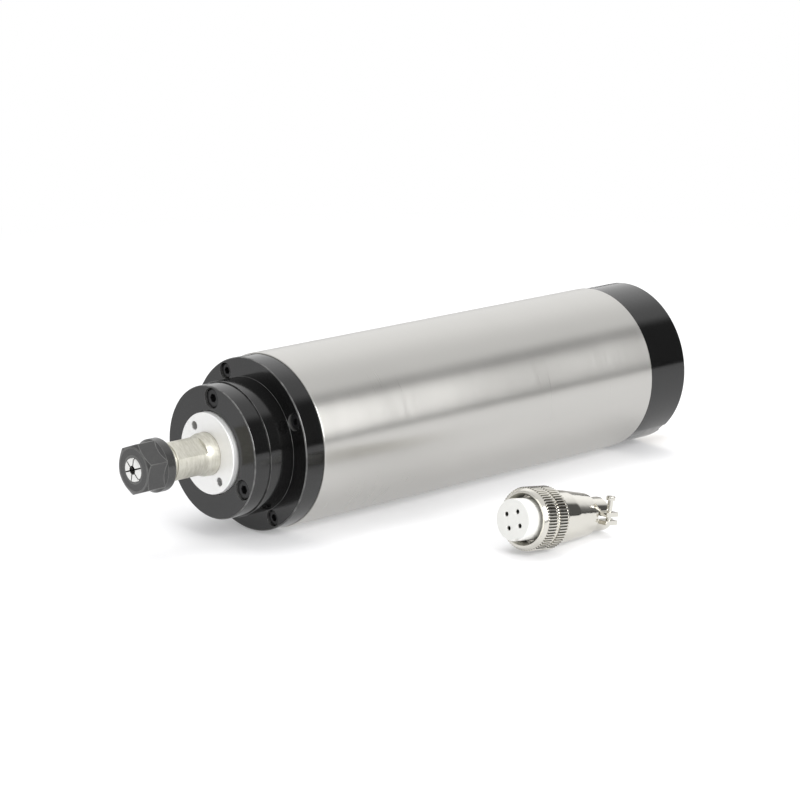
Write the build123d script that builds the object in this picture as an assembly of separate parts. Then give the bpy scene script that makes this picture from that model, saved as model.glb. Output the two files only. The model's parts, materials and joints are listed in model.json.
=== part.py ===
"""Water-cooled milling spindle lying on its side, with its cable plug beside it.

The spindle's axis is X and its nose points to -X. The origin is on the axis, in the middle of
the steel tube that a clamp grips. Angles round the axis run from +Y towards +Z.
"""
from build123d import *
from math import atan2, cos, degrees, radians, sin, tan
import os

# ---- steel body tube -----------------------------------------------------------------------
tube_r = 32.5
tube_wall = 1.5
tube_length = 173.0
tube_edge = 0.3

# ---- black front: flange, bearing boss and cover ---------------------------------------------
end_rim = 0.4               # how far the tube stands out round the flange and the rear cap
flange_thickness = 8.4
flange_edge = 0.5
flange_spigot = 8.0
flange_lip = 3.5            # stop behind the bearings' outer rings
boss_length = 10.5
boss_wall = 7.5             # round the bearings
boss_gap = 0.25             # between the boss and the counterbores in the flange
cover_step = 0.45           # from the boss's side in to the cover's
cover_thickness = 7.0
cover_edge = 0.5
cover_recess_gap = 0.45     # running gap round and behind the slinger nut's disc
cover_bore_gap = 0.4
cover_pilot = 1.0           # ring on the cover's back that presses on the bearings

# ---- fasteners -------------------------------------------------------------------------------
m4_shank_r, m4_head_r, m4_head_h, m4_key = 2.0, 3.5, 4.0, 3.0
m3_shank_r, m3_head_r, m3_head_h, m3_key = 1.5, 2.75, 3.0, 2.5
screw_clearance = 0.1       # hole radius beyond the shank
head_clearance = 0.3        # counterbore radius beyond the head
head_sink = 0.8             # how far a head lies under the face
head_chamfer_share = 0.1    # of the head's height
key_depth_share = 0.55
cover_screw_inset = 4.4     # of the screws' circle from the cover's side
cover_screw_count = 3
cover_screw_angle = 91.5
cover_screw_length = 14.0
flange_screw_inset = 4.2    # of the screws' circle from the tube's outside
flange_screw_count = 4
flange_screw_angle = 63.0
flange_screw_length = 16.0
cap_screw_inset = 4.2
cap_screw_count = 4
cap_screw_angle = 0.0
cap_screw_length = 26.0

# ---- bearings ----------------------------------------------------------------------------------
front_bearing_height = 9.0  # from its bore to its outside
front_bearing_width = 10.0
rear_bearing_bore_r = 6.0
rear_bearing_r = 14.0
rear_bearing_width = 8.0
race_wall_share = 0.3       # each ring's share of the height between bore and outside
ball_share = 0.52           # ball diameter as a share of that height
ball_play = 0.04            # clearance between a ball and each ring
groove_mouth_share = 0.8    # half widths of a ball groove, as shares of the ball's radius
groove_floor_share = 0.4
cage_thickness = 1.2
cage_margin = 0.6           # of a cage's side beyond the balls
cage_play = 0.1             # between a ball and its pocket
front_ball_count = 11
rear_ball_count = 9
front_bearing_count = 2

# ---- shaft -------------------------------------------------------------------------------------
nose_r = 7.0                # thread for the clamping nut, and the ground length behind it
nose_thread = 8.6
thread_pitch = 0.75
relief_depth = 0.5
relief_width = 1.2
collar_r = 7.9
collar_length = 2.8
collar_cone = 2.6
nose_reach = 28.1           # from the slinger nut's front face to the end of the nose
flat_across = 12.0          # spanner flats
flat_angle = 130.0
flat_start = 10.6           # from the end of the nose
flat_length = 12.6
shoulder_r = 10.5           # behind the front bearings
rear_neck_r = 7.5
shaft_tail = 7.5            # beyond the rear bearing
shaft_edge = 0.4
seat_run_out = 1.0          # of the collet's seat behind the collet
shaft_bore_depth = 10.0     # plain bore behind the seat
shaft_bore_step = 0.2

# ---- slinger nut -------------------------------------------------------------------------------
disc_margin = 9.55          # from the cover's side in to the disc
disc_proud = 2.1
disc_thickness = 3.1
disc_edge = 0.4
disc_hub_r = 10.3
disc_collar_gap = 0.05
disc_collar_cover = 1.0     # how far the disc reaches over the shaft's collar
pin_hole_r = 1.6
pin_hole_depth = 2.0
pin_hole_angle = 53.0

# ---- collet and clamping nut -------------------------------------------------------------------
collet_length = 18.0
collet_face_r = 4.1
collet_max_r = 5.75
collet_cone_angle = 30.0    # half angle of the front cone
collet_rim = 0.9
collet_groove = 1.3
collet_groove_r = 4.75
collet_taper_r = 5.5        # at the large end of the taper
collet_taper_angle = 8.0    # half angle
collet_bore_r = 1.5875      # 1/8 inch shank
collet_slot = 0.5
collet_slot_count = 6       # from each end
collet_slot_angle = 41.0    # of a slot that opens to the front
collet_slot_stop = 2.6      # solid length left at the end that a slot doesn't reach
collet_stickout = 5.5       # of the collet's face beyond the shaft's nose
seat_clearance = 0.01
nut_length = 12.0
nut_inset = 0.5             # of the nut's face behind the collet's face
nut_r = 9.5
nut_across = 17.0
nut_hex_length = 8.2
nut_step_cone = 1.3
nut_edge = 0.7
nut_face_r = 8.3
nut_mouth_gap = 0.12
nut_thread_gap = 0.05
nut_hex_angle = 40.0
nut_chamfer_angle = 30.0
nut_lip_play = 0.1          # between the nut's lip and the sides of the collet's groove
nut_lip_offset = 0.25       # eccentric lip that draws the collet out

# ---- stator and rotor --------------------------------------------------------------------------
jacket_wall = 6.0
jacket_rear_wall = 5.4      # thinner where the rear bearing housing fits
channel_depth = 3.2         # the cooling water runs along the jacket, to and fro
channel_ribs = 8
channel_rib = 3.0
channel_gate = 9.0          # left open at the end of every other rib
channel_inset = 5.0         # from each seal
seal_width = 1.8
seal_depth = 1.6
seal_inset = 14.0
seal_play = 0.15
stator_length = 80.0
stator_shift = -12.0        # of the stator's middle from the tube's middle
tooth_tip = 1.4             # between the slots and the stator's bore
slot_count = 12
yoke = 3.2                  # solid iron outside the slots
slot_depth = 5.1
slot_share = 0.5            # of the pitch at the slot's top
slot_mouth = 1.6
slot_mouth_height = 3.0
wire_gap = 0.15
end_turn_length = 15.0
end_turn_inset = 0.3        # inside the slots' tops
end_turn_gap = 1.2          # between the end turns and the jacket
end_turn_edge = 2.5
end_turn_start = 0.3        # from the core's end face
air_gap = 0.3
bar_count = 14
bar_r = 1.3
bar_inset = 2.0             # of the bars' centres from the rotor's outside
end_ring_length = 4.0
end_ring_height = 4.0
core_height = 5.0           # of the rotor's iron, from the shaft to its outside

# ---- rear: bearing housing, cap, socket, hose tails --------------------------------------------
cap_thickness = 20.0
cap_edge = 0.8
cap_notch_angle = 230.0     # pry slot in the rear rim
cap_notch_width = 4.5
cap_notch_depth = 1.6
cap_spigot_wall = 3.0
cap_spigot = 11.5
housing_thickness = 17.0
housing_lip = 2.0
housing_lip_r = 10.0
spring_gap = 1.2
spring_thickness = 0.5
spring_in_gap = 0.3         # inside the spring's inner and outer rims
spring_out_gap = 0.2
rear_nut_r = 9.2
rear_nut_length = 5.0
rear_nut_slots = 4
rear_nut_slot_depth = 1.0
rear_nut_slot_width = 3.0
lead_hole_share = 0.29      # of the wall between the rear bearing and the housing's outside
lead_hole_shift = 0.8       # inwards from the middle of that wall
lead_share = 0.265          # of the hole's radius
lead_spread_share = 0.53
socket_pcr = 13.0
socket_angle = 45.0
socket_barrel_r = 8.4
socket_barrel_wall = 0.75
socket_reach = 10.0
socket_flange = 24.0
socket_flange_thickness = 2.2
socket_flange_corner = 3.0
socket_screw_spacing = 18.0
socket_screw_length = 5.0
m2_shank_r, m2_head_r, m2_head_h, m2_key = 1.25, 2.1, 1.4, 1.5
socket_back = 7.0
socket_key = 1.6
socket_key_height = 0.5
socket_key_stop = 1.0       # from the barrel's mouth
key_angle = 225.0           # of the connector's key, from its first pin
pocket_r = 10.6
panel_thickness = 3.0
pin_r = 0.8
pin_pcr = 3.6
pin_count = 4
pin_reach = 8.0
pin_tail = 3.0
pin_edge = 0.3
tail_inset = 6.9            # of the tails from the ducts
tail_angles = (243.0, 297.0)
tail_bore_r = 1.9
tail_r = 3.4
tail_barb = 0.6
tail_barb_length = 3.2
tail_barbs = 3
tail_neck = 2.0
tail_hex = 10.0
tail_hex_height = 4.5
tail_thread_r = 4.0
tail_thread = 7.0
tail_seat = 1.0             # ledge under the thread, round the water's way in
duct_r = 1.3
duct_inset = 3.6            # from the jacket's outside
cross_duct_share = 0.8      # of a duct's radius

# ---- cable plug --------------------------------------------------------------------------------
plug_x, plug_y = -44.5, -90.1   # where the ring's front lip stands, below its centre
plug_heading = 4.7              # of its axis, from +X towards +Y
plug_roll = 25.0                # of its insulator round that axis
ring_length = 13.4
ring_lip_r = 9.7
ring_lip_length = 1.6
ring_r = 11.0
ring_knurl_r = 11.5
ring_knurl_depth = 0.45
ring_knurl_count = 64
ring_band_starts = (1.8, 8.6)
ring_band_width = 4.1
ring_bore_r = 8.5
ring_chamber = 6.9          # length of the wider chamber at the ring's back
ring_chamber_wall = 1.0
ring_play = 0.08            # radial clearance on the shell's collar
ring_end_play = 0.25
clip_thickness = 0.6
clip_bite = 0.3             # depth of the clip's groove in the ring
clip_height = 1.2
insulator_r = 7.55
insulator_proud = 5.2
insulator_back = 9.0
insulator_key = 1.6
contact_r = 1.2
contact_bore_r = 0.85
contact_sink = 0.8
contact_tail = 3.0
core_collar = 2.0
core_sleeve = 7.5
core_wall = 0.65
core_lip = 0.8              # step that the insulator seats on
back_neck_r = 8.9
back_neck = 1.3
back_r = 9.6
back_cylinder = 7.0
back_cone = 13.4
back_end_r = 8.0
back_end_wall = 1.5
cable_mouth_r = 4.8
tongue_length = 11.0
tongue_r = 6.3
tongue_wall = 1.4
strap_gap = 1.4
strap_start = 2.5
strap_length = 6.5
ear_reach = 9.9
ear_thickness = 1.6
ear_screw = 8.1             # from the plug's axis
clamp_screw_r, clamp_head_r, clamp_head_h, clamp_slot = 1.0, 1.7, 1.4, 0.5
clamp_screw_length = 9.0
clamp_screw_proud = (4.4, 0.0)

past = 1.0                  # how far a cut or a joined piece runs over, so that no skin is left

# ---- radii that follow -----------------------------------------------------------------------------
jacket_r = tube_r - tube_wall
jacket_bore_r = jacket_r - jacket_wall
jacket_rear_r = jacket_r - jacket_rear_wall
duct_pcr = jacket_r - duct_inset
tail_pcr = duct_pcr - tail_inset
flange_screw_pcr = tube_r - flange_screw_inset
cap_screw_pcr = tube_r - cap_screw_inset
boss_r = flange_screw_pcr - m3_head_r - head_clearance - boss_gap
cover_r = boss_r - cover_step
cover_screw_pcr = cover_r - cover_screw_inset
front_bearing_r = boss_r - boss_wall
front_bearing_bore_r = front_bearing_r - front_bearing_height
flange_lip_r = front_bearing_r - flange_lip
disc_r = cover_r - disc_margin
pin_hole_pcr = (collar_r + disc_r) / 2
slot_bottom_r = jacket_bore_r - yoke
slot_top_r = slot_bottom_r - slot_depth
stator_bore_r = slot_top_r - tooth_tip
end_turn_in_r = slot_top_r - end_turn_inset
end_turn_out_r = jacket_bore_r - end_turn_gap
rotor_r = stator_bore_r - air_gap
bar_pcr = rotor_r - bar_inset
end_ring_in_r = rotor_r - end_ring_height
core_seat_r = rotor_r - core_height
lead_hole_r = lead_hole_share * (jacket_rear_r - rear_bearing_r)
lead_hole_pcr = (jacket_rear_r + rear_bearing_r) / 2 - lead_hole_shift
lead_r = lead_share * lead_hole_r
lead_spread = lead_spread_share * lead_hole_r

# ---- stations along the axis ---------------------------------------------------------------------
x_front = -tube_length / 2
x_rear = tube_length / 2
x_flange = x_front - flange_thickness
x_boss = x_flange - boss_length
x_cover = x_boss - cover_thickness
x_disc = x_cover - disc_proud
x_disc_back = x_disc + disc_thickness
x_collar_end = x_disc + disc_collar_cover
x_bearings = x_boss + cover_pilot
x_shoulder = x_bearings + front_bearing_count * front_bearing_width
x_nose = x_disc - nose_reach
x_collet = x_nose - collet_stickout
x_nut = x_collet + nut_inset
x_nut_back = x_nut + nut_length
x_stator = stator_shift - stator_length / 2
x_stator_end = stator_shift + stator_length / 2
x_cap_face = x_rear + cap_thickness
x_panel = x_cap_face - panel_thickness

x_housing_end = x_rear - cap_spigot
x_housing = x_housing_end - housing_thickness
x_rear_bearing = x_housing + housing_lip + spring_gap
x_tail = x_rear_bearing + rear_bearing_width + shaft_tail

os.makedirs("parts", exist_ok=True)


# ---- helpers -------------------------------------------------------------------------------------
def turned(points):
    """Revolve a closed profile of (x, radius) points about the X axis."""
    profile = make_face(Polyline(*[(x, r, 0) for x, r in points], close=True))
    return revolve(profile, Axis.X)


def tube_between(x0, x1, outer_r, inner_r):
    """A plain ring or sleeve on the X axis."""
    return turned([(x0, inner_r), (x1, inner_r), (x1, outer_r), (x0, outer_r)])


def rod(x0, x1, r):
    """A solid cylinder on the X axis."""
    return Pos((x0 + x1) / 2, 0, 0) * Rot(Y=90) * Cylinder(r, x1 - x0)


def prism(x0, sketch, length):
    """Extrude a sketch, drawn on the YZ plane, from x0 towards +X."""
    return extrude(Plane.YZ.offset(x0) * sketch, length)


def at(angle, pcr):
    """The place at an angle and radius round the X axis."""
    return Pos(0, pcr * cos(radians(angle)), pcr * sin(radians(angle)))


def ring_angles(count, start):
    return [start + 360 * i / count for i in range(count)]


def cap_screw(shank_r, head_r, head_h, key, length):
    """Socket head screw along X: the head's top is at x = 0 and its tip points to +X."""
    body = rod(0, head_h, head_r) + rod(head_h, head_h + length, shank_r)
    body = chamfer(body.edges().group_by(Axis.X)[0], head_chamfer_share * head_h)
    socket = prism(0, RegularPolygon(key / 2, 6, major_radius=False), key_depth_share * head_h)
    return body - socket


def screw_hole(head_r, head_h, shank_r, length):
    """Counterbore and clearance hole for a screw whose head is sunk below a face at x = 0."""
    bottom = head_sink + head_h
    counterbore = rod(-past, bottom, head_r + head_clearance)
    return counterbore + rod(bottom, bottom + length + past, shank_r + screw_clearance)


def rear_facing(shape, x_face):
    """Turn a shape made at x = 0 that points to +X, so that it points to -X from x_face."""
    return Pos(x_face, 0, 0) * Rot(Z=180) * shape


def save(name, *solids):
    """Write one node, with its separate solids as a group."""
    shape = solids[0] if len(solids) == 1 else Compound(children=list(solids))
    export_step(shape, f"parts/{name}.step")


# ---- pieces of the housing -----------------------------------------------------------------------
cover_screws_at = [at(a, cover_screw_pcr) for a in ring_angles(cover_screw_count, cover_screw_angle)]
flange_screws_at = [at(a, flange_screw_pcr) for a in ring_angles(flange_screw_count, flange_screw_angle)]
cap_screws_at = [at(a, cap_screw_pcr) for a in ring_angles(cap_screw_count, cap_screw_angle)]
m4_hole = screw_hole(m4_head_r, m4_head_h, m4_shank_r, cover_screw_length)
flange_hole = screw_hole(m3_head_r, m3_head_h, m3_shank_r, flange_screw_length)
cap_hole = rear_facing(screw_hole(m3_head_r, m3_head_h, m3_shank_r, cap_screw_length), x_cap_face)
cover_screw_holes = [place * Pos(x_cover, 0, 0) * m4_hole for place in cover_screws_at]
flange_screw_holes = [place * Pos(x_flange, 0, 0) * flange_hole for place in flange_screws_at]
cap_screw_holes = [place * cap_hole for place in cap_screws_at]


def body_tube():
    tube = tube_between(x_front, x_rear, tube_r, jacket_r)
    ends = [e for e in tube.edges().filter_by(GeomType.CIRCLE) if e.radius > jacket_r + tube_wall / 2]
    return chamfer(ends, tube_edge)


def channel_span():
    """The water channel's two ends, inside the seals."""
    inset = seal_inset + seal_width + channel_inset
    return x_front + inset, x_rear - inset


def water_channel():
    """A wide ring of water, cut by ribs into one path that runs to and fro along the jacket."""
    x0, x1 = channel_span()
    floor_r = jacket_r - channel_depth
    channel = tube_between(x0, x1, jacket_r + past, floor_r)
    for i, angle in enumerate(ring_angles(channel_ribs, 270)):
        start = x0 + channel_gate if i % 2 else x0
        end = x1 - channel_gate if i and not i % 2 else x1
        rib = Box(end - start, 2 * (channel_depth + past), channel_rib)
        channel -= Pos((start + end) / 2, 0, 0) * Rot(X=angle) * Pos(0, jacket_r, 0) * rib
    return channel


def seal_starts():
    return x_front + seal_inset, x_rear - seal_inset - seal_width


def water_jacket():
    sleeve = turned([(x_front, jacket_bore_r), (x_front, jacket_r), (x_rear, jacket_r),
                     (x_rear, jacket_rear_r), (x_housing, jacket_rear_r), (x_housing, jacket_bore_r)])
    for x in seal_starts():
        sleeve -= tube_between(x - seal_play, x + seal_width + seal_play, jacket_r + past,
                               jacket_r - seal_depth)
    for angle in tail_angles:
        sleeve -= at(angle, duct_pcr) * rod(channel_span()[1] - past, x_rear + past, duct_r)
    return sleeve - water_channel() - flange_screw_holes - cap_screw_holes


def seal_rings():
    return [tube_between(x, x + seal_width, jacket_r, jacket_r - seal_depth) for x in seal_starts()]


def front_flange():
    """Flange and bearing boss turned from one piece."""
    flange_r = tube_r - end_rim
    spigot_end = x_front + flange_spigot
    flange = turned([
        (x_boss, front_bearing_r), (x_boss, boss_r), (x_flange, boss_r),
        (x_flange, flange_r - flange_edge), (x_flange + flange_edge, flange_r),
        (x_front, flange_r), (x_front, jacket_bore_r), (spigot_end, jacket_bore_r),
        (spigot_end, flange_lip_r), (x_shoulder, flange_lip_r), (x_shoulder, front_bearing_r)])
    return flange - cover_screw_holes - flange_screw_holes


def front_cover():
    recess_r = disc_r + cover_recess_gap
    recess_floor = x_disc_back + cover_recess_gap
    bore_r = disc_hub_r + cover_bore_gap
    cover = turned([
        (x_cover, recess_r), (x_cover, cover_r - cover_edge), (x_cover + cover_edge, cover_r),
        (x_boss, cover_r), (x_boss, front_bearing_r), (x_bearings, front_bearing_r),
        (x_bearings, bore_r), (recess_floor, bore_r), (recess_floor, recess_r)])
    return cover - cover_screw_holes


def cover_screws():
    screw = Pos(x_cover + head_sink, 0, 0) * cap_screw(m4_shank_r, m4_head_r, m4_head_h, m4_key,
                                                      cover_screw_length)
    return [place * screw for place in cover_screws_at]


def flange_screws():
    screw = Pos(x_flange + head_sink, 0, 0) * cap_screw(m3_shank_r, m3_head_r, m3_head_h, m3_key,
                                                       flange_screw_length)
    return [place * screw for place in flange_screws_at]


def cap_screws():
    screw = rear_facing(cap_screw(m3_shank_r, m3_head_r, m3_head_h, m3_key, cap_screw_length),
                        x_cap_face - head_sink)
    return [place * screw for place in cap_screws_at]


# ---- bearings ------------------------------------------------------------------------------------
def bearing_sizes(bore_r, outer_r):
    """Inner ring's outside, outer ring's inside, ball radius and ball circle."""
    height = outer_r - bore_r
    wall = race_wall_share * height
    return bore_r + wall, outer_r - wall, ball_share * height / 2, (bore_r + outer_r) / 2


def race(x, width, plain_r, land_r, ball_r, pcr):
    """A ring with a groove for the balls in its land, which faces the ball circle."""
    side = 1 if land_r > pcr else -1
    deep_r = pcr + side * (ball_r + ball_play)
    middle = x + width / 2
    mouth, floor = groove_mouth_share * ball_r, groove_floor_share * ball_r
    return turned([(x, plain_r), (x, land_r), (middle - mouth, land_r), (middle - floor, deep_r),
                   (middle + floor, deep_r), (middle + mouth, land_r), (x + width, land_r),
                   (x + width, plain_r)])


def inner_race(x, width, bore_r, outer_r):
    land_r, _, ball_r, pcr = bearing_sizes(bore_r, outer_r)
    return race(x, width, bore_r, land_r, ball_r, pcr)


def outer_race(x, width, bore_r, outer_r):
    _, land_r, ball_r, pcr = bearing_sizes(bore_r, outer_r)
    return race(x, width, outer_r, land_r, ball_r, pcr)


def ball_row(x, width, bore_r, outer_r, count):
    _, _, ball_r, pcr = bearing_sizes(bore_r, outer_r)
    return [Pos(x + width / 2, 0, 0) * at(a, pcr) * Sphere(ball_r) for a in ring_angles(count, 0)]


def bearing_cage(x, width, bore_r, outer_r, count):
    """A ring with a pocket for each ball, between the two races."""
    _, _, ball_r, pcr = bearing_sizes(bore_r, outer_r)
    middle, half = x + width / 2, ball_r + cage_margin
    ring = tube_between(middle - half, middle + half, pcr + cage_thickness / 2,
                        pcr - cage_thickness / 2)
    return ring - [Pos(middle, 0, 0) * at(a, pcr) * Sphere(ball_r + cage_play)
                   for a in ring_angles(count, 0)]


front_bearing = (front_bearing_width, front_bearing_bore_r, front_bearing_r)
rear_bearing = (rear_bearing_width, rear_bearing_bore_r, rear_bearing_r)
front_bearing_starts = [x_bearings + i * front_bearing_width for i in range(front_bearing_count)]


# ---- rotor ---------------------------------------------------------------------------------------
def cone_length():
    return (collet_max_r - collet_face_r) / tan(radians(collet_cone_angle))


def taper_start():
    """Where the collet's long taper begins, behind its groove."""
    return x_collet + cone_length() + collet_rim + collet_groove


def taper_r(x):
    return collet_taper_r - (x - taper_start()) * tan(radians(collet_taper_angle))


def spindle_shaft():
    thread_end = x_nose + nose_thread
    relief_r = nose_r - relief_depth
    collar_start = x_disc - collar_length
    seat_end = x_collet + collet_length + seat_run_out
    seat_r = taper_r(seat_end) + seat_clearance
    bore_end = seat_end + shaft_bore_depth
    bore_r = seat_r - shaft_bore_step
    core_start, core_end = x_stator, x_stator_end
    shaft = turned([
        (x_nose, taper_r(x_nose) + seat_clearance), (x_nose, nose_r - shaft_edge),
        (x_nose + shaft_edge, nose_r), (thread_end, nose_r), (thread_end, relief_r),
        (thread_end + relief_width, relief_r), (thread_end + relief_width, nose_r),
        (collar_start - collar_cone, nose_r), (collar_start, collar_r), (x_collar_end, collar_r),
        (x_collar_end, front_bearing_bore_r), (x_shoulder, front_bearing_bore_r),
        (x_shoulder, shoulder_r), (core_start - end_ring_length, shoulder_r),
        (core_start - end_ring_length, core_seat_r), (core_end + end_ring_length, core_seat_r),
        (core_end + end_ring_length, rear_neck_r), (x_rear_bearing, rear_neck_r),
        (x_rear_bearing, rear_bearing_bore_r), (x_tail - shaft_edge, rear_bearing_bore_r),
        (x_tail, rear_bearing_bore_r - shaft_edge), (x_tail, 0), (bore_end, 0),
        (bore_end, bore_r), (seat_end, bore_r), (seat_end, seat_r)])
    depth = collar_r
    flat = Pos(x_nose + flat_start + flat_length / 2, 0, 0)
    for angle in (flat_angle, flat_angle + 180):
        cutter = Box(flat_length, depth, 3 * collar_r)
        shaft -= flat * Rot(X=angle) * Pos(0, (flat_across + depth) / 2, 0) * cutter
    return shaft


def slinger_nut():
    nut = turned([
        (x_disc, collar_r + disc_collar_gap), (x_disc, disc_r - disc_edge),
        (x_disc + disc_edge, disc_r), (x_disc_back, disc_r), (x_disc_back, disc_hub_r),
        (x_bearings, disc_hub_r), (x_bearings, front_bearing_bore_r),
        (x_collar_end, front_bearing_bore_r), (x_collar_end, collar_r + disc_collar_gap)])
    for angle in (pin_hole_angle, pin_hole_angle + 180):
        nut -= at(angle, pin_hole_pcr) * rod(x_disc - past, x_disc + pin_hole_depth, pin_hole_r)
    return nut


def rotor_core():
    core = tube_between(x_stator, x_stator_end, rotor_r, core_seat_r)
    bars = [at(a, bar_pcr) * rod(x_stator - past, x_stator_end + past, bar_r)
            for a in ring_angles(bar_count, 0)]
    return core - bars


def rotor_cage():
    """Bars through the core, with a ring across their ends."""
    cage = tube_between(x_stator - end_ring_length, x_stator, rotor_r, end_ring_in_r)
    cage += tube_between(x_stator_end, x_stator_end + end_ring_length, rotor_r, end_ring_in_r)
    for angle in ring_angles(bar_count, 0):
        cage += at(angle, bar_pcr) * rod(x_stator - past, x_stator_end + past, bar_r)
    return cage


def rear_locknut():
    x0 = x_rear_bearing + rear_bearing_width
    nut = tube_between(x0, x0 + rear_nut_length, rear_nut_r, rear_bearing_bore_r)
    notch = Box(rear_nut_length, 2 * rear_nut_slot_depth, rear_nut_slot_width)
    for angle in ring_angles(rear_nut_slots, 0):
        nut -= Pos(x0 + rear_nut_length, 0, 0) * Rot(X=angle) * Pos(0, rear_nut_r, 0) * notch
    return nut


# ---- collet and clamping nut ---------------------------------------------------------------------
def collet():
    """Spring collet: slots cut from the two ends in turn leave one folded wall that closes."""
    cone_end = x_collet + cone_length()
    end = x_collet + collet_length
    body = turned([
        (x_collet, collet_bore_r), (x_collet, collet_face_r), (cone_end, collet_max_r),
        (cone_end + collet_rim, collet_max_r), (cone_end + collet_rim, collet_groove_r),
        (taper_start(), collet_groove_r), (taper_start(), collet_taper_r),
        (end, taper_r(end)), (end, collet_bore_r)])
    from_front = (x_collet - past, end - collet_slot_stop)
    from_back = (x_collet + collet_slot_stop, end + past)
    depth = collet_max_r + past
    for i, angle in enumerate(ring_angles(2 * collet_slot_count, collet_slot_angle)):
        x0, x1 = from_back if i % 2 else from_front
        slot = Pos(0, depth / 2, 0) * Box(x1 - x0, depth, collet_slot)
        body -= Pos((x0 + x1) / 2, 0, 0) * Rot(X=angle) * slot
    return body


def nut_outside():
    """Hexagon in front, round skirt behind, with a cone that scallops the flats."""
    hex_end = x_nut + nut_hex_length
    corner_r = nut_across / 3 ** 0.5
    bevel = (corner_r - nut_face_r) * tan(radians(nut_chamfer_angle))
    front = Pos(x_nut, 0, 0) * Rot(X=nut_hex_angle) * prism(
        0, RegularPolygon(nut_across / 2, 6, major_radius=False, rotation=30), nut_hex_length)
    front &= turned([(x_nut, 0), (x_nut, nut_face_r), (x_nut + bevel, corner_r),
                     (hex_end, corner_r), (hex_end, 0)])
    skirt = turned([(hex_end - nut_step_cone, 0), (hex_end - nut_step_cone, nut_r - nut_step_cone),
                    (hex_end, nut_r), (x_nut_back - nut_edge, nut_r),
                    (x_nut_back, nut_r - nut_edge), (x_nut_back, 0)])
    return front + skirt


def collet_nut():
    cone_end = x_collet + cone_length()
    face_r = collet_face_r + nut_inset * tan(radians(collet_cone_angle)) + nut_mouth_gap
    chamber_r = collet_max_r + nut_mouth_gap
    lip_start = cone_end + collet_rim + nut_lip_play
    lip_end = taper_start() - nut_lip_play
    thread_r = nose_r + nut_thread_gap
    cavity = turned([(x_nut - past, 0), (x_nut - past, face_r), (x_nut, face_r),
                     (cone_end, chamber_r), (lip_start, chamber_r), (lip_start, 0)])
    lip_hole_r = collet_groove_r + nut_lip_offset + nut_lip_play
    cavity += Pos(0, nut_lip_offset, 0) * rod(lip_start - collet_rim, lip_end + past, lip_hole_r)
    cavity += rod(lip_end, x_nut_back + past, thread_r)
    return nut_outside() - cavity


# ---- stator --------------------------------------------------------------------------------------
def slot_sketch(gap):
    """One stator slot with its mouth, or the wires in it where gap is taken off each side."""
    half_pitch = radians(180 / slot_count)
    top, bottom = slot_top_r + gap, slot_bottom_r - gap
    top_half = slot_share * top * tan(half_pitch) - gap
    bottom_half = slot_share * bottom * tan(half_pitch) - gap
    return make_face(Polyline((top, -top_half), (bottom, -bottom_half), (bottom, bottom_half),
                              (top, top_half), close=True))


def stator_core():
    section = Circle(jacket_bore_r) - Circle(stator_bore_r)
    mouth = Pos(slot_top_r - past, 0) * Rectangle(slot_mouth_height, slot_mouth)
    for angle in ring_angles(slot_count, 0):
        section -= Rot(Z=angle) * (slot_sketch(0) + mouth)
    return prism(x_stator, section, stator_length)


def stator_windings():
    """Copper in the slots, with a bundle of end turns at each end."""
    wires = Sketch() + [Rot(Z=angle) * slot_sketch(wire_gap) for angle in ring_angles(slot_count, 0)]
    copper = prism(x_stator - past, wires, stator_length + 2 * past)
    edge = end_turn_edge
    for x0, x1 in ((x_stator - end_turn_start, x_stator - end_turn_length),
                   (x_stator_end + end_turn_start, x_stator_end + end_turn_length)):
        out = 1 if x1 > x0 else -1
        copper += turned([(x0, end_turn_in_r), (x0, end_turn_out_r), (x1 - out * edge, end_turn_out_r),
                          (x1, end_turn_out_r - edge), (x1, end_turn_in_r + edge / 2),
                          (x1 - out * edge / 2, end_turn_in_r)])
    return copper


# ---- rear end ------------------------------------------------------------------------------------
def rear_bearing_housing():
    housing = turned([
        (x_housing, housing_lip_r), (x_housing, jacket_rear_r), (x_housing_end, jacket_rear_r),
        (x_housing_end, rear_bearing_r), (x_housing + housing_lip, rear_bearing_r),
        (x_housing + housing_lip, housing_lip_r)])
    lead_hole = rod(x_housing - past, x_housing_end + past, lead_hole_r)
    return housing - at(socket_angle, lead_hole_pcr) * lead_hole


def preload_spring():
    """Disc spring between the housing's lip and the rear bearing's outer ring."""
    x0, x1 = x_housing + housing_lip, x_rear_bearing
    in_r, out_r = housing_lip_r + spring_in_gap, rear_bearing_r - spring_out_gap
    return turned([(x0, in_r), (x0 + spring_thickness, in_r), (x1, out_r),
                   (x1 - spring_thickness, out_r)])


socket_at = at(socket_angle, socket_pcr)
socket_in_r = socket_barrel_r - socket_barrel_wall
x_socket_face = x_cap_face + socket_flange_thickness
x_socket_back = x_cap_face - socket_back


def socket_corners():
    """The places of the socket's four screws, round its own axis."""
    return [Pos(0, y, z) for y in (-socket_screw_spacing / 2, socket_screw_spacing / 2)
            for z in (-socket_screw_spacing / 2, socket_screw_spacing / 2)]


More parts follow.
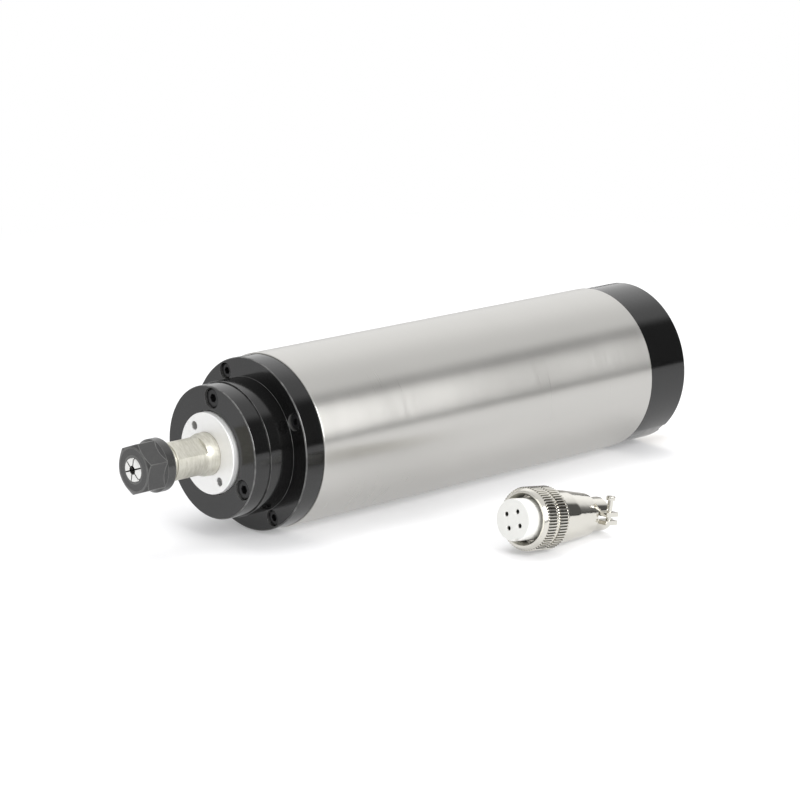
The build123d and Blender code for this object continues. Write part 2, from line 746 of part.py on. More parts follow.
def rear_cap():
    spigot_in_r = jacket_rear_r - cap_spigot_wall
    cap_r = tube_r - end_rim
    cap = turned([
        (x_housing_end, spigot_in_r), (x_housing_end, jacket_rear_r), (x_rear, jacket_rear_r),
        (x_rear, cap_r), (x_cap_face - cap_edge, cap_r), (x_cap_face, cap_r - cap_edge),
        (x_cap_face, 0), (x_rear, 0), (x_rear, spigot_in_r)])
    cap -= socket_at * rod(x_rear - past, x_panel, pocket_r)
    cap -= socket_at * rod(x_panel - past, x_cap_face + past, socket_barrel_r + screw_clearance)
    screw_end = x_cap_face - socket_screw_length - past
    for corner in socket_corners():
        cap -= socket_at * corner * rod(screw_end, x_cap_face + past, m2_shank_r + screw_clearance)
    thread_bottom = x_cap_face - tail_thread
    x_duct = thread_bottom - 2 * duct_r
    for angle in tail_angles:
        cap -= at(angle, tail_pcr) * rod(thread_bottom, x_cap_face + past, tail_thread_r)
        cap -= at(angle, tail_pcr) * rod(x_duct - 2 * duct_r, thread_bottom + past,
                                         tail_thread_r - tail_seat)
        cap -= at(angle, duct_pcr) * rod(x_rear - past, x_duct + duct_r, duct_r)
        across = Cylinder(cross_duct_share * duct_r, duct_pcr - tail_pcr)
        middle = (duct_pcr + tail_pcr) / 2
        cap -= Pos(x_duct, 0, 0) * Rot(X=angle) * Pos(0, middle, 0) * Rot(X=90) * across
    notch = Box(2 * cap_notch_depth, 2 * cap_notch_depth, cap_notch_width)
    cap -= Pos(x_cap_face, 0, 0) * Rot(X=cap_notch_angle) * Pos(0, cap_r, 0) * notch
    return cap - cap_screw_holes


def socket_shell():
    plate = prism(x_cap_face, RectangleRounded(socket_flange, socket_flange, socket_flange_corner),
                  socket_flange_thickness)
    shell = plate + rod(x_socket_back, x_socket_face + socket_reach, socket_barrel_r)
    shell -= rod(x_socket_back - past, x_socket_face + socket_reach + past, socket_in_r)
    for corner in socket_corners():
        shell -= corner * rod(x_cap_face - past, x_socket_face + past, m2_shank_r + screw_clearance)
    key_length = socket_reach - socket_key_stop
    key = Pos(key_length / 2, socket_in_r, 0) * Box(key_length, 2 * socket_key_height, socket_key)
    shell += Pos(x_socket_face, 0, 0) * Rot(X=key_angle) * key
    return socket_at * shell


def pin_places(pcr):
    return [at(angle, pcr) for angle in ring_angles(pin_count, 0)]


def socket_insulator():
    disc = rod(x_socket_back, x_socket_face, socket_in_r)
    hole = rod(x_socket_back - past, x_socket_face + past, pin_r)
    disc -= [place * hole for place in pin_places(pin_pcr)]
    return socket_at * disc


def socket_pins():
    pin = rod(x_socket_back - pin_tail, x_socket_face + pin_reach, pin_r)
    pin = chamfer(pin.edges().group_by(Axis.X)[-1], pin_edge)
    return [socket_at * place * pin for place in pin_places(pin_pcr)]


def socket_screws():
    screw = rear_facing(cap_screw(m2_shank_r, m2_head_r, m2_head_h, m2_key, socket_screw_length),
                        x_socket_face + m2_head_h)
    return [socket_at * corner * screw for corner in socket_corners()]


def hose_tails():
    """Barbed tails for the cooling hoses, screwed into the cap."""
    x0 = x_cap_face + tail_hex_height
    neck_end = x0 + tail_neck
    outline = [(x_cap_face - tail_thread, tail_bore_r), (x_cap_face - tail_thread, tail_thread_r),
               (x0, tail_thread_r), (x0, tail_r - tail_barb), (neck_end, tail_r - tail_barb)]
    for i in range(tail_barbs):
        start = neck_end + i * tail_barb_length
        outline += [(start, tail_r + tail_barb), (start + tail_barb_length, tail_r - tail_barb)]
    outline += [(neck_end + tail_barbs * tail_barb_length, tail_bore_r)]
    hexagon = prism(x_cap_face, RegularPolygon(tail_hex / 2, 6, major_radius=False), tail_hex_height)
    tail = turned(outline) + (hexagon - rod(x_cap_face - past, x0 + past, tail_bore_r))
    return [at(angle, tail_pcr) * tail for angle in tail_angles]


def lead(start, pin_place):
    """A wire from a point inside the spindle to the tail of one socket pin."""
    end = (socket_at * pin_place * Pos(x_socket_back - pin_tail, 0, 0)).position
    run = (end.X - x_housing_end) / 3
    corners = [start, Vector(x_housing_end + run, start.Y, start.Z),
               Vector(end.X - run, end.Y, end.Z), end]
    path = FilletPolyline(*corners, radius=run)
    return sweep(Plane(origin=start, z_dir=(1, 0, 0)) * Circle(lead_r), path)


def phase_leads():
    start_x = x_stator_end + end_turn_length
    bundle = at(socket_angle, lead_hole_pcr)
    return [lead((bundle * place * Pos(start_x, 0, 0)).position, pin)
            for place, pin in list(zip(pin_places(lead_spread), pin_places(pin_pcr)))[:3]]


# ---- cable plug, made along X from its ring's front lip at x = 0 ----------------------------------
plug_end = ring_length + back_cylinder + back_cone + tongue_length
knurl_end = ring_band_starts[-1] + ring_band_width
plug_tilt = atan2(ring_knurl_r - tongue_r, plug_end - knurl_end)
plug_height = knurl_end * sin(plug_tilt) + ring_knurl_r * cos(plug_tilt)
plug_place = (Pos(plug_x, plug_y, plug_height - tube_r) * Rot(Z=plug_heading)
              * Rot(Y=degrees(plug_tilt)))
chamber_start = ring_length - ring_chamber
chamber_r = ring_r - ring_chamber_wall
collar_start = chamber_start + ring_end_play
collar_end = collar_start + core_collar
clip_start = collar_end + ring_end_play / 2
back_start = collar_end
cone_start = ring_length + back_cylinder
back_end = cone_start + back_cone
sleeve_r = insulator_r + core_wall


def plug_ring():
    """Coupling ring: a lip, two knurled bands with a groove between them, a chamber behind."""
    ring = turned([(0, ring_bore_r), (0, ring_lip_r), (ring_lip_length, ring_r), (ring_length, ring_r),
                   (ring_length, chamber_r), (chamber_start, chamber_r), (chamber_start, ring_bore_r)])
    low_r = ring_knurl_r - ring_knurl_depth
    count = 2 * ring_knurl_count
    crests = [((ring_knurl_r if i % 2 else low_r), radians(360 * i / count)) for i in range(count)]
    knurl = make_face(Polyline(*[(r * cos(a), r * sin(a)) for r, a in crests], close=True))
    band = knurl - Circle((ring_r + chamber_r) / 2)
    for start in ring_band_starts:
        ring += prism(start, band, ring_band_width)
    groove_r = chamber_r + clip_bite
    ring -= tube_between(clip_start, clip_start + clip_thickness, groove_r, chamber_r - past)
    return plug_place * ring


def plug_ring_clip():
    groove_r = chamber_r + clip_bite
    clip = tube_between(clip_start, clip_start + clip_thickness, groove_r, groove_r - clip_height)
    gap = Box(2 * clip_thickness, 3 * clip_height, 2 * clip_height)
    return plug_place * (clip - Pos(clip_start + clip_thickness / 2, groove_r, 0) * gap)


def plug_core():
    """Sleeve that holds the insulator; its collar keeps the ring and its tail screws into the back."""
    sleeve_end = collar_end + core_sleeve
    seat_r = insulator_r - core_lip
    core = turned([(collar_start, insulator_r), (collar_start, chamber_r - ring_play),
                   (collar_end, chamber_r - ring_play), (collar_end, sleeve_r),
                   (sleeve_end, sleeve_r), (sleeve_end, seat_r), (insulator_back, seat_r),
                   (insulator_back, insulator_r)])
    return plug_place * core


def plug_insulator():
    body = rod(-insulator_proud, insulator_back, insulator_r)
    keyway_length = insulator_proud + collar_start
    keyway = Pos(0, insulator_r, 0) * Box(keyway_length, insulator_key, insulator_key)
    body -= Pos(collar_start - keyway_length / 2, 0, 0) * Rot(X=key_angle) * keyway
    for place in pin_places(pin_pcr):
        body -= place * rod(-insulator_proud - past, insulator_back, contact_bore_r)
        body -= place * rod(contact_sink - insulator_proud, insulator_back + past, contact_r)
    return plug_place * Rot(X=plug_roll) * body


def plug_contacts():
    contact = tube_between(contact_sink - insulator_proud, insulator_back + contact_tail,
                           contact_r, contact_bore_r)
    return [plug_place * Rot(X=plug_roll) * place * contact for place in pin_places(pin_pcr)]


def plug_back_shell():
    """Back shell: cylinder and cone, then a half-round tongue with an ear on each side."""
    cone_wall = back_r - sleeve_r
    inner_end = back_end - back_end_wall
    neck_end = back_start + back_neck
    shell = turned([
        (back_start, sleeve_r), (back_start, back_neck_r), (neck_end, back_neck_r),
        (neck_end, back_r), (cone_start, back_r), (back_end, back_end_r),
        (back_end, cable_mouth_r), (inner_end, cable_mouth_r), (inner_end, back_end_r - cone_wall),
        (cone_start, sleeve_r)])
    tongue = tube_between(back_end, plug_end, tongue_r, tongue_r - tongue_wall)
    strap_at = back_end + strap_start
    for side in (-1, 1):
        ear = Box(strap_length, ear_reach - tongue_r + tongue_wall, ear_thickness)
        middle = side * (ear_reach + tongue_r - tongue_wall) / 2
        tongue += Pos(strap_at + strap_length / 2, middle, -(strap_gap + ear_thickness) / 2) * ear
    tongue -= Pos((back_end + plug_end) / 2, 0, tongue_r - strap_gap / 2) * Box(
        2 * tongue_length, 3 * tongue_r, 2 * tongue_r)
    for place in clamp_screw_places():
        tongue -= place * Cylinder(clamp_screw_r + screw_clearance / 2, 2 * tongue_r)
    return plug_place * (shell + tongue)


def clamp_screw_places():
    return [Pos(back_end + strap_start + strap_length / 2, side * ear_screw, 0) for side in (-1, 1)]


def plug_strap():
    """Upper half of the cable clamp, screwed to the tongue's ears."""
    x0 = back_end + strap_start
    strap = tube_between(x0, x0 + strap_length, tongue_r, tongue_r - tongue_wall)
    for side in (-1, 1):
        ear = Box(strap_length, ear_reach - tongue_r + tongue_wall, ear_thickness)
        middle = side * (ear_reach + tongue_r - tongue_wall) / 2
        strap += Pos(x0 + strap_length / 2, middle, (strap_gap + ear_thickness) / 2) * ear
    strap -= Pos(x0, 0, strap_gap / 2 - tongue_r) * Box(3 * strap_length, 3 * tongue_r, 2 * tongue_r)
    for place in clamp_screw_places():
        strap -= place * Cylinder(clamp_screw_r + screw_clearance / 2, 2 * tongue_r)
    return plug_place * strap


def plug_clamp_screws():
    """Slotted screws, one of them backed out so that a cable can be put in."""
    screws = []
    for place, proud in zip(clamp_screw_places(), clamp_screw_proud):
        seat = strap_gap / 2 + ear_thickness + proud
        head = Pos(0, 0, seat + clamp_head_h / 2) * Cylinder(clamp_head_r, clamp_head_h)
        shank = Pos(0, 0, seat - clamp_screw_length / 2) * Cylinder(clamp_screw_r, clamp_screw_length)
        slot = Pos(0, 0, seat + clamp_head_h) * Box(3 * clamp_head_r, clamp_slot, clamp_head_h)
        screws.append(plug_place * place * (head + shank - slot))
    return screws


# ---- write one file per node ---------------------------------------------------------------------
save("body_tube", body_tube())
save("water_jacket", water_jacket())
save("jacket_seals", *seal_rings())
save("front_flange", front_flange())
save("flange_screws", *flange_screws())
save("front_cover", front_cover())
save("cover_screws", *cover_screws())
save("front_bearing_outer_rings", *[outer_race(x, *front_bearing) for x in front_bearing_starts])
save("stator_core", stator_core())
save("stator_windings", stator_windings())
save("phase_leads", *phase_leads())
save("rear_bearing_housing", rear_bearing_housing())
save("rear_bearing_outer_ring", outer_race(x_rear_bearing, *rear_bearing))
save("preload_spring", preload_spring())
save("rear_cap", rear_cap())
save("cap_screws", *cap_screws())
save("socket_shell", socket_shell())
save("socket_insulator", socket_insulator())
save("socket_pins", *socket_pins())
save("socket_screws", *socket_screws())
save("hose_tails", *hose_tails())

save("spindle_shaft", spindle_shaft())
save("slinger_nut", slinger_nut())
save("front_bearing_inner_rings", *[inner_race(x, *front_bearing) for x in front_bearing_starts])
save("front_bearing_balls", *[ball for x in front_bearing_starts
                              for ball in ball_row(x, *front_bearing, front_ball_count)])
save("front_bearing_cages", *[bearing_cage(x, *front_bearing, front_ball_count)
                              for x in front_bearing_starts])
save("rotor_core", rotor_core())
save("rotor_cage", rotor_cage())
save("rear_bearing_inner_ring", inner_race(x_rear_bearing, *rear_bearing))
save("rear_bearing_balls", *ball_row(x_rear_bearing, *rear_bearing, rear_ball_count))
save("rear_bearing_cage", bearing_cage(x_rear_bearing, *rear_bearing, rear_ball_count))
save("rear_locknut", rear_locknut())

save("collet", collet())
save("collet_nut", collet_nut())

save("plug_insulator", plug_insulator())
save("plug_contacts", *plug_contacts())
save("plug_core", plug_core())
save("plug_back_shell", plug_back_shell())
save("plug_strap", plug_strap())
save("plug_clamp_screws", *plug_clamp_screws())
save("plug_ring", plug_ring())
save("plug_ring_clip", plug_ring_clip())
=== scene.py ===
"""Looks for a water-cooled milling spindle that lies on its side, with its cable plug beside it.

Lengths in the formulas are millimetres unless a name says otherwise; meshes are in metres.
The spindle's axis is X, its nose points to -X and Z is up. Angles round an axis run from the
first cross direction towards the second, which on the spindle is from +Y towards +Z.
"""

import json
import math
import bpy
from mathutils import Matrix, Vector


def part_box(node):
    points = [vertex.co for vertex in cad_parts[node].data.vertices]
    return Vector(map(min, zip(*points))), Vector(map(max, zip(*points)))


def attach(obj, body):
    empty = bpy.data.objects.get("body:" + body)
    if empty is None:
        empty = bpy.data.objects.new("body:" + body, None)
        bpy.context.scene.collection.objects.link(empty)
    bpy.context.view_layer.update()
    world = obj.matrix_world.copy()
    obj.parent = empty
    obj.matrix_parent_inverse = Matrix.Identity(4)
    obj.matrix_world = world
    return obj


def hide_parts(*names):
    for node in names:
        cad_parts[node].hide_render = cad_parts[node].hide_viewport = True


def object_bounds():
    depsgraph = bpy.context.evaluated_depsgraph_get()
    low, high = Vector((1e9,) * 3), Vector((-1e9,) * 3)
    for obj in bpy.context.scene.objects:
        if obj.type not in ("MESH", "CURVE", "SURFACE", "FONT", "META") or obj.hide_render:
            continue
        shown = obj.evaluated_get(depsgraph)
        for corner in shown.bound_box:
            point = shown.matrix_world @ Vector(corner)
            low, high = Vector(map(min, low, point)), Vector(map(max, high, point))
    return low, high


bl_info = {
    "name": "Milling spindle",
    "version": (1, 0, 0),
    "blender": (4, 5, 0),
    "location": "3D View > Sidebar > Spindle",
    "description": "Builds the finished surfaces of a milling spindle and its cable plug",
    "category": "Object",
}

import bmesh
import bpy
import numpy as np
from mathutils import Vector
from mathutils.geometry import delaunay_2d_cdt
from bpy.props import FloatProperty, FloatVectorProperty, IntProperty, PointerProperty

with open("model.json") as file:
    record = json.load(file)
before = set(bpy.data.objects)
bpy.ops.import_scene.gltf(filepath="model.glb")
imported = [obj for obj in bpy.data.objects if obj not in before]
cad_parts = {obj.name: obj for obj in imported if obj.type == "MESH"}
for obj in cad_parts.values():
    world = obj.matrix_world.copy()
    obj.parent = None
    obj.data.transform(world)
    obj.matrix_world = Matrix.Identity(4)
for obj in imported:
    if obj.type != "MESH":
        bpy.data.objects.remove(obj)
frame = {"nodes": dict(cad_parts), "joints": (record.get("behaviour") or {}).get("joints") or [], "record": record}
CAD_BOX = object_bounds()
NODES = frame["nodes"]
NODE_BODY = {node: body for body, members in frame["record"]["behaviour"]["bodies"].items()
             for node in members}
NODE_SLOT = {part["node"]: part["material_slot"] for part in frame["record"]["subparts"]}
JOINTS = {joint["name"]: joint for joint in frame["joints"]}
MM = 0.001


def span(node, axis=0):
    """Lowest and highest millimetre of a node along one axis."""
    low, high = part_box(node)
    return low[axis] / MM, high[axis] / MM


def reach(node):
    """A round node's outer radius in millimetres."""
    return span(node, 1)[1]


# ---- shader maths ----------------------------------------------------------------------------
class Value:
    """One socket of a shader tree; arithmetic on it adds Math nodes."""

    def __init__(self, shader, socket):
        self.shader, self.socket = shader, socket

    def _math(self, operation, *values):
        return self.shader.node("Math", {"operation": operation}, dict(enumerate(values)))

    def __add__(self, other):
        return self._math("ADD", self, other)

    def __sub__(self, other):
        return self._math("SUBTRACT", self, other)

    def __rsub__(self, other):
        return self._math("SUBTRACT", other, self)

    def __mul__(self, other):
        return self._math("MULTIPLY", self, other)

    def __pow__(self, other):
        return self._math("POWER", self, other)

    def maximum(self, other):
        return self._math("MAXIMUM", self, other)

    def step(self, low, high):
        """0 below low, 1 above high, and a smooth rise between them."""
        return self.shader.node("MapRange", {"interpolation_type": "SMOOTHSTEP"}, {
            "Value": self, "From Min": low, "From Max": high})

    __radd__ = __add__
    __rmul__ = __mul__


class Shader:
    """A material's or world's node tree, built by expressions."""

    def __init__(self, owner):
        owner.use_nodes = True
        self.owner, self.tree = owner, owner.node_tree
        self.tree.nodes.clear()

    def node(self, kind, settings=None, inputs=None, output=0):
        """Add a node, apply its settings, then fill its sockets with values or links."""
        made = self.tree.nodes.new("ShaderNode" + kind)
        for name, value in (settings or {}).items():
            setattr(made, name, value)
        for name, value in (inputs or {}).items():
            if isinstance(value, Value):
                self.tree.links.new(value.socket, made.inputs[name])
            else:
                made.inputs[name].default_value = value
        return Value(self, made.outputs[output]) if made.outputs else None

    def place(self, scale=(1, 1, 1), centre=(0, 0, 0)):
        """Object coordinates in millimetres, from a centre and scaled."""
        point = self.node("TexCoord", output="Object")
        moved = self.node("VectorMath", {"operation": "SUBTRACT"}, {
            0: point, 1: [c * MM for c in centre]})
        return self.node("Mapping", {"vector_type": "POINT"}, {
            "Vector": moved, "Scale": [s / MM for s in scale]})

    def split(self, vector, axis):
        """One coordinate of a vector."""
        return self.node("SeparateXYZ", None, {"Vector": vector}, output=axis)

    def attribute(self, name):
        """A number that the mesh stores at its points; 0 on a mesh without it."""
        return self.node("Attribute", {"attribute_name": name}, output="Fac")

    def noise(self, vector, scale=1.0, detail=3.0, roughness=0.5):
        """Cloudy values round 0.5."""
        return self.node("TexNoise", None, {
            "Vector": vector, "Scale": scale, "Detail": detail, "Roughness": roughness})

    def mix(self, factor, first, second):
        """Colour between two colours."""
        made = self.tree.nodes.new("ShaderNodeMix")
        made.data_type = "RGBA"
        colours = [s for s in made.inputs if s.name in "AB" and s.type == "RGBA"]
        for socket, value in zip((made.inputs["Factor"], *colours), (factor, first, second)):
            if isinstance(value, Value):
                self.tree.links.new(value.socket, socket)
            else:
                socket.default_value = value
        return Value(self, [s for s in made.outputs if s.type == "RGBA"][0])

    def bump(self, height, depth, strength=1.0):
        """Normal of a surface whose height runs over depth millimetres."""
        return self.node("Bump", None, {
            "Height": height, "Distance": depth * MM, "Strength": strength})

    def principled(self, **inputs):
        """The finished surface: names of sockets with underscores for spaces."""
        named = {name.replace("_", " "): value for name, value in inputs.items()}
        surface = self.node("BsdfPrincipled", None, named)
        self.node("OutputMaterial", None, {"Surface": surface})
        return self.owner


def colour(red, green, blue):
    """An opaque colour."""
    return (red, green, blue, 1.0)


def toned(tint, factor):
    """A colour made darker or brighter, up to full white."""
    return colour(*[min(1.0, c * factor) for c in tint])


def radius_of(shader, point):
    """Distance from the X axis."""
    return (shader.split(point, 1) ** 2 + shader.split(point, 2) ** 2) ** 0.5


# ---- finishes --------------------------------------------------------------------------------
def stainless_tube(s):
    """Polished tube: fine marks round it, with soft cloudy patches from the belt."""
    looks = bpy.context.scene.spindle_body
    aside = (-313.7, 940.0, 610.0)      # keeps the noise's own grid planes off the tube
    rings = s.noise(s.place((2.2, 0.02, 0.02), aside), detail=4.0, roughness=0.65)
    clouds = s.noise(s.place((0.02, 0.04, 0.04), aside), detail=2.0)
    base = s.mix(clouds, toned(looks.tube_colour, 0.94), toned(looks.tube_colour, 1.05))
    return s.principled(Base_Color=base, Metallic=1.0, Anisotropic=looks.tube_spread,
                        Roughness=looks.tube_roughness + (rings - 0.5) * 0.10 + (clouds - 0.5) * 0.06)


def black_anodised(s):
    """Glossy black coat over turned aluminium, with faint turning rings under it and a painted highlight of light
    bare metal along its sharp edges.
    """
    looks = bpy.context.scene.spindle_body
    point = s.place()
    clouds = s.noise(point, 0.12, 2.0)
    grain = s.noise(point, 2.5, 2.0)
    patches = s.noise(point, 0.25, 3.0).step(0.35, 0.65)
    # painted highlight: sharp bends of the mesh get a light, metallic base in patches, standing in for the glint
    # on edges and hole rims
    painted_highlight = s.attribute("bend").step(0.003, 0.015) * (0.35 + 0.65 * patches) * looks.edge_highlight
    base = s.mix(painted_highlight, colour(*looks.black_colour), colour(0.5, 0.5, 0.49))
    return s.principled(Base_Color=base, Metallic=painted_highlight, IOR=1.6,
                        Roughness=looks.black_roughness + (clouds - 0.5) * 0.08,
                        Normal=s.bump(grain, 0.004))


def bright_disc(s):
    """Faced aluminium: concentric tool marks round the axis, with shade painted darker down in its holes."""
    point = s.place()
    face, rim = span("slinger_nut")[0], reach("slinger_nut")
    painted_hole_shade = s.split(point, 0).step(face + 0.2, face + 0.6)           # 1 below the face
    outer = radius_of(s, point).step(rim - 1.3, rim - 1.0)          # 1 on the rim
    # painted shade: the base darkens everywhere deeper than the face, in the spanner holes and the collar's hole,
    # but not on the rim
    base = s.mix(painted_hole_shade * (1.0 - outer) * 0.45, colour(0.98, 0.98, 0.97), colour(0.1, 0.1, 0.1))
    turning = s.node("CombineXYZ", None, {"X": radius_of(s, point) * 3.0, "Y": s.split(point, 0)})
    marks = s.noise(turning, 1.0, 4.0, 0.7)
    return s.principled(Base_Color=base, Metallic=0.6,
                        Roughness=0.45 + (marks - 0.5) * 0.2, Normal=s.bump(marks, 0.01, 0.5))


def ground_steel(s):
    """Ground shaft: fine rings along it."""
    rings = s.noise(s.place((3.0, 0.05, 0.05)), detail=3.0, roughness=0.6)
    stains = s.noise(s.place((2.0, 0.6, 0.6)), 0.6, 4.0, 0.6).step(0.3, 0.7)
    base = s.mix(stains, colour(0.52, 0.505, 0.435), colour(0.64, 0.625, 0.56))
    return s.principled(Base_Color=base, Metallic=0.72, Roughness=0.42 + (rings - 0.5) * 0.24,
                        Normal=s.bump(rings, 0.01, 0.4))


def black_oxide(s):
    """Blackened steel: a dark skin over a fine etched grain, with a painted highlight along the sharp edges."""
    point = s.place()
    grain = s.noise(point, 3.0, 3.0)
    clouds = s.noise(point, 0.4, 2.0)
    # painted highlight: sharp bends get a light base in cloudy patches, standing in for the glint on the nut's
    # edges
    painted_highlight = s.attribute("bend").step(0.0015, 0.008) * (0.3 + 0.7 * clouds)
    skin = s.mix(clouds, colour(0.02, 0.02, 0.02), colour(0.033, 0.033, 0.032))
    base = s.mix(painted_highlight * 0.15, skin, colour(0.6, 0.6, 0.58))
    return s.principled(Base_Color=base, Metallic=0.1, IOR=1.72,
                        Roughness=0.24 + (clouds - 0.5) * 0.12, Normal=s.bump(grain, 0.008))


def bright_collet(s):
    """Bright spring steel with fine grinding marks along the axis."""
    grain = s.noise(s.place((1.0, 4.0, 4.0)), 1.0, 2.0)
    return s.principled(Base_Color=colour(0.9, 0.9, 0.88), Metallic=1.0,
                        Roughness=0.3 + (grain - 0.5) * 0.1)


def nickel_plate(s):
    """Warm bright plating, with shade painted dark down in the grooves of the knurl."""
    looks = bpy.context.scene.spindle_plug
    clouds = s.noise(s.place(), 0.25, 2.0)
    # painted shade: the base turns near black down in the knurl's grooves
    shade = s.attribute("groove") * looks.groove_shade
    base = s.mix(shade, colour(*looks.nickel_colour), colour(0.03, 0.028, 0.022))
    return s.principled(Base_Color=base, Metallic=1.0,
                        Roughness=looks.nickel_roughness + (clouds - 0.5) * 0.05)


def white_insulator(s):
    """White moulded plastic."""
    clouds = s.noise(s.place(), 0.3, 2.0)
    base = s.mix(clouds, colour(0.72, 0.72, 0.69), colour(0.77, 0.77, 0.74))
    return s.principled(Base_Color=base, Roughness=0.38)


def plain(base, metallic=0.0, roughness=0.5, scale=1.0, stretch=(1, 1, 1), depth=0.0, vary=0.08):
    """A finish whose tone and gloss drift a little over the surface."""
    def finish(s):
        drift = s.noise(s.place(stretch), scale, 3.0)
        tone = s.mix(drift, toned(base, 1 - vary), toned(base, 1 + vary))
        extra = {"Normal": s.bump(drift, depth)} if depth else {}
        return s.principled(Base_Color=tone, Metallic=metallic,
                            Roughness=roughness + (drift - 0.5) * 0.1, **extra)
    return finish


FINISHES = {
    "stainless_tube": stainless_tube,
    "black_anodised": black_anodised,
    "bright_disc": bright_disc,
    "ground_steel": ground_steel,
    "black_oxide": black_oxide,
    "bright_collet": bright_collet,
    "nickel_plate": nickel_plate,
    "white_insulator": white_insulator,
    "black_screws": plain((0.02, 0.02, 0.021), 0.4, 0.32, 0.8),
    "bare_aluminium": plain((0.8, 0.8, 0.8), 1.0, 0.35, 1.0, (2, 0.2, 0.2), 0.004),
    "black_rubber": plain((0.02, 0.02, 0.02), 0.0, 0.65, 2.0, depth=0.01),
    "bearing_steel": plain((0.68, 0.68, 0.67), 1.0, 0.15, 0.5, (3, 0.2, 0.2)),
    "lamination": plain((0.3, 0.3, 0.31), 1.0, 0.45, 1.0, (8, 0.1, 0.1), 0.02),
    "copper": plain((0.72, 0.3, 0.14), 1.0, 0.3, 1.0, (0.3, 3, 3), 0.03),
    "lead_insulation": plain((0.45, 0.03, 0.02), 0.0, 0.4, 0.6),
    "silver_contact": plain((0.85, 0.84, 0.8), 1.0, 0.2, 0.6),
    "brass_tail": plain((0.78, 0.57, 0.25), 1.0, 0.25, 0.6),
}
_made = {}


def finish(slot):
    """The material of one of the record's slots, made once."""
    if slot not in _made:
        _made[slot] = FINISHES[slot](Shader(bpy.data.materials.new(slot)))
    return _made[slot]


# ---- surfaces --------------------------------------------------------------------------------
GUARD = 0.15        # how far a guard row stands from a rounded corner, as a share of its radius
WELD_SKIN = 2e-7    # metres within which the points of a new surface's patches are one
WELD_PART = 1e-6    # the same for the triangles of a part's own surface
ROUND = 256         # points round a turned piece
SHARP_SKIN = 35.0   # degrees past which an edge of a new surface shades as sharp
SHARP_PART = 32.0   # the same for a part's own surface, whose sharper edges are rolled over


def rounded(corners, steps=5):
    """Closed outline from (x, radius, rounding) corners, and each corner's first and last row.

    A rounded corner becomes an arc tangent to both of its sides, with a guard row just outside
    each end, so that shading stays flat on the sides.
    """
    outline, ends = [], []
    for i, (x, r, size) in enumerate(corners):
        here = np.array([x, r])
        rows = [here]
        if size:
            before = np.array(corners[i - 1][:2]) - here
            after = np.array(corners[(i + 1) % len(corners)][:2]) - here
            a, b = before / np.hypot(*before), after / np.hypot(*after)
            half = math.acos(np.clip(a @ b, -1, 1)) / 2
            cut, sweep = size / math.tan(half), math.pi - 2 * half
            middle = here + (a + b) / np.hypot(*(a + b)) * size / math.sin(half)
            t = np.linspace(0, 1, steps + 1)[:, None]
            first, last = here + a * cut - middle, here + b * cut - middle
            bent = np.sin((1 - t) * sweep) * first + np.sin(t * sweep) * last
            arc = middle + bent / math.sin(sweep)
            rows = [arc[0] + a * GUARD * size, *arc, arc[-1] + b * GUARD * size]
        ends.append((len(outline), len(outline) + len(rows) - 1))
        outline += rows
    return np.array(outline), ends


def even_angles(count):
    """Equal steps once round a circle, in radians."""
    return np.linspace(0, 2 * np.pi, count, endpoint=False)


def revolved(outline, angles, radius=None):
    """Turn an outline of (x, r) round the X axis.

    Point (i, j) is (x, R cos a, R sin a) with a the j-th angle and R the outline's own radius, or
    radius(x, r, a) where the form isn't round.
    """
    angle = np.asarray(angles)[None, :]
    x, r = outline[:, :1], outline[:, 1:2]
    around = r + 0 * angle if radius is None else radius(x, r, angle)
    return np.stack([x + 0 * angle, around * np.cos(angle), around * np.sin(angle)], -1)


def polar(radius, angle):
    """The (y, z) place at a radius and an angle round the axis."""
    return radius * math.cos(angle), radius * math.sin(angle)


def ring_places(radius, count, start):
    """Evenly spaced (y, z) places on a circle round the axis, from a first angle."""
    return [polar(radius, start + 2 * math.pi * i / count) for i in range(count)]


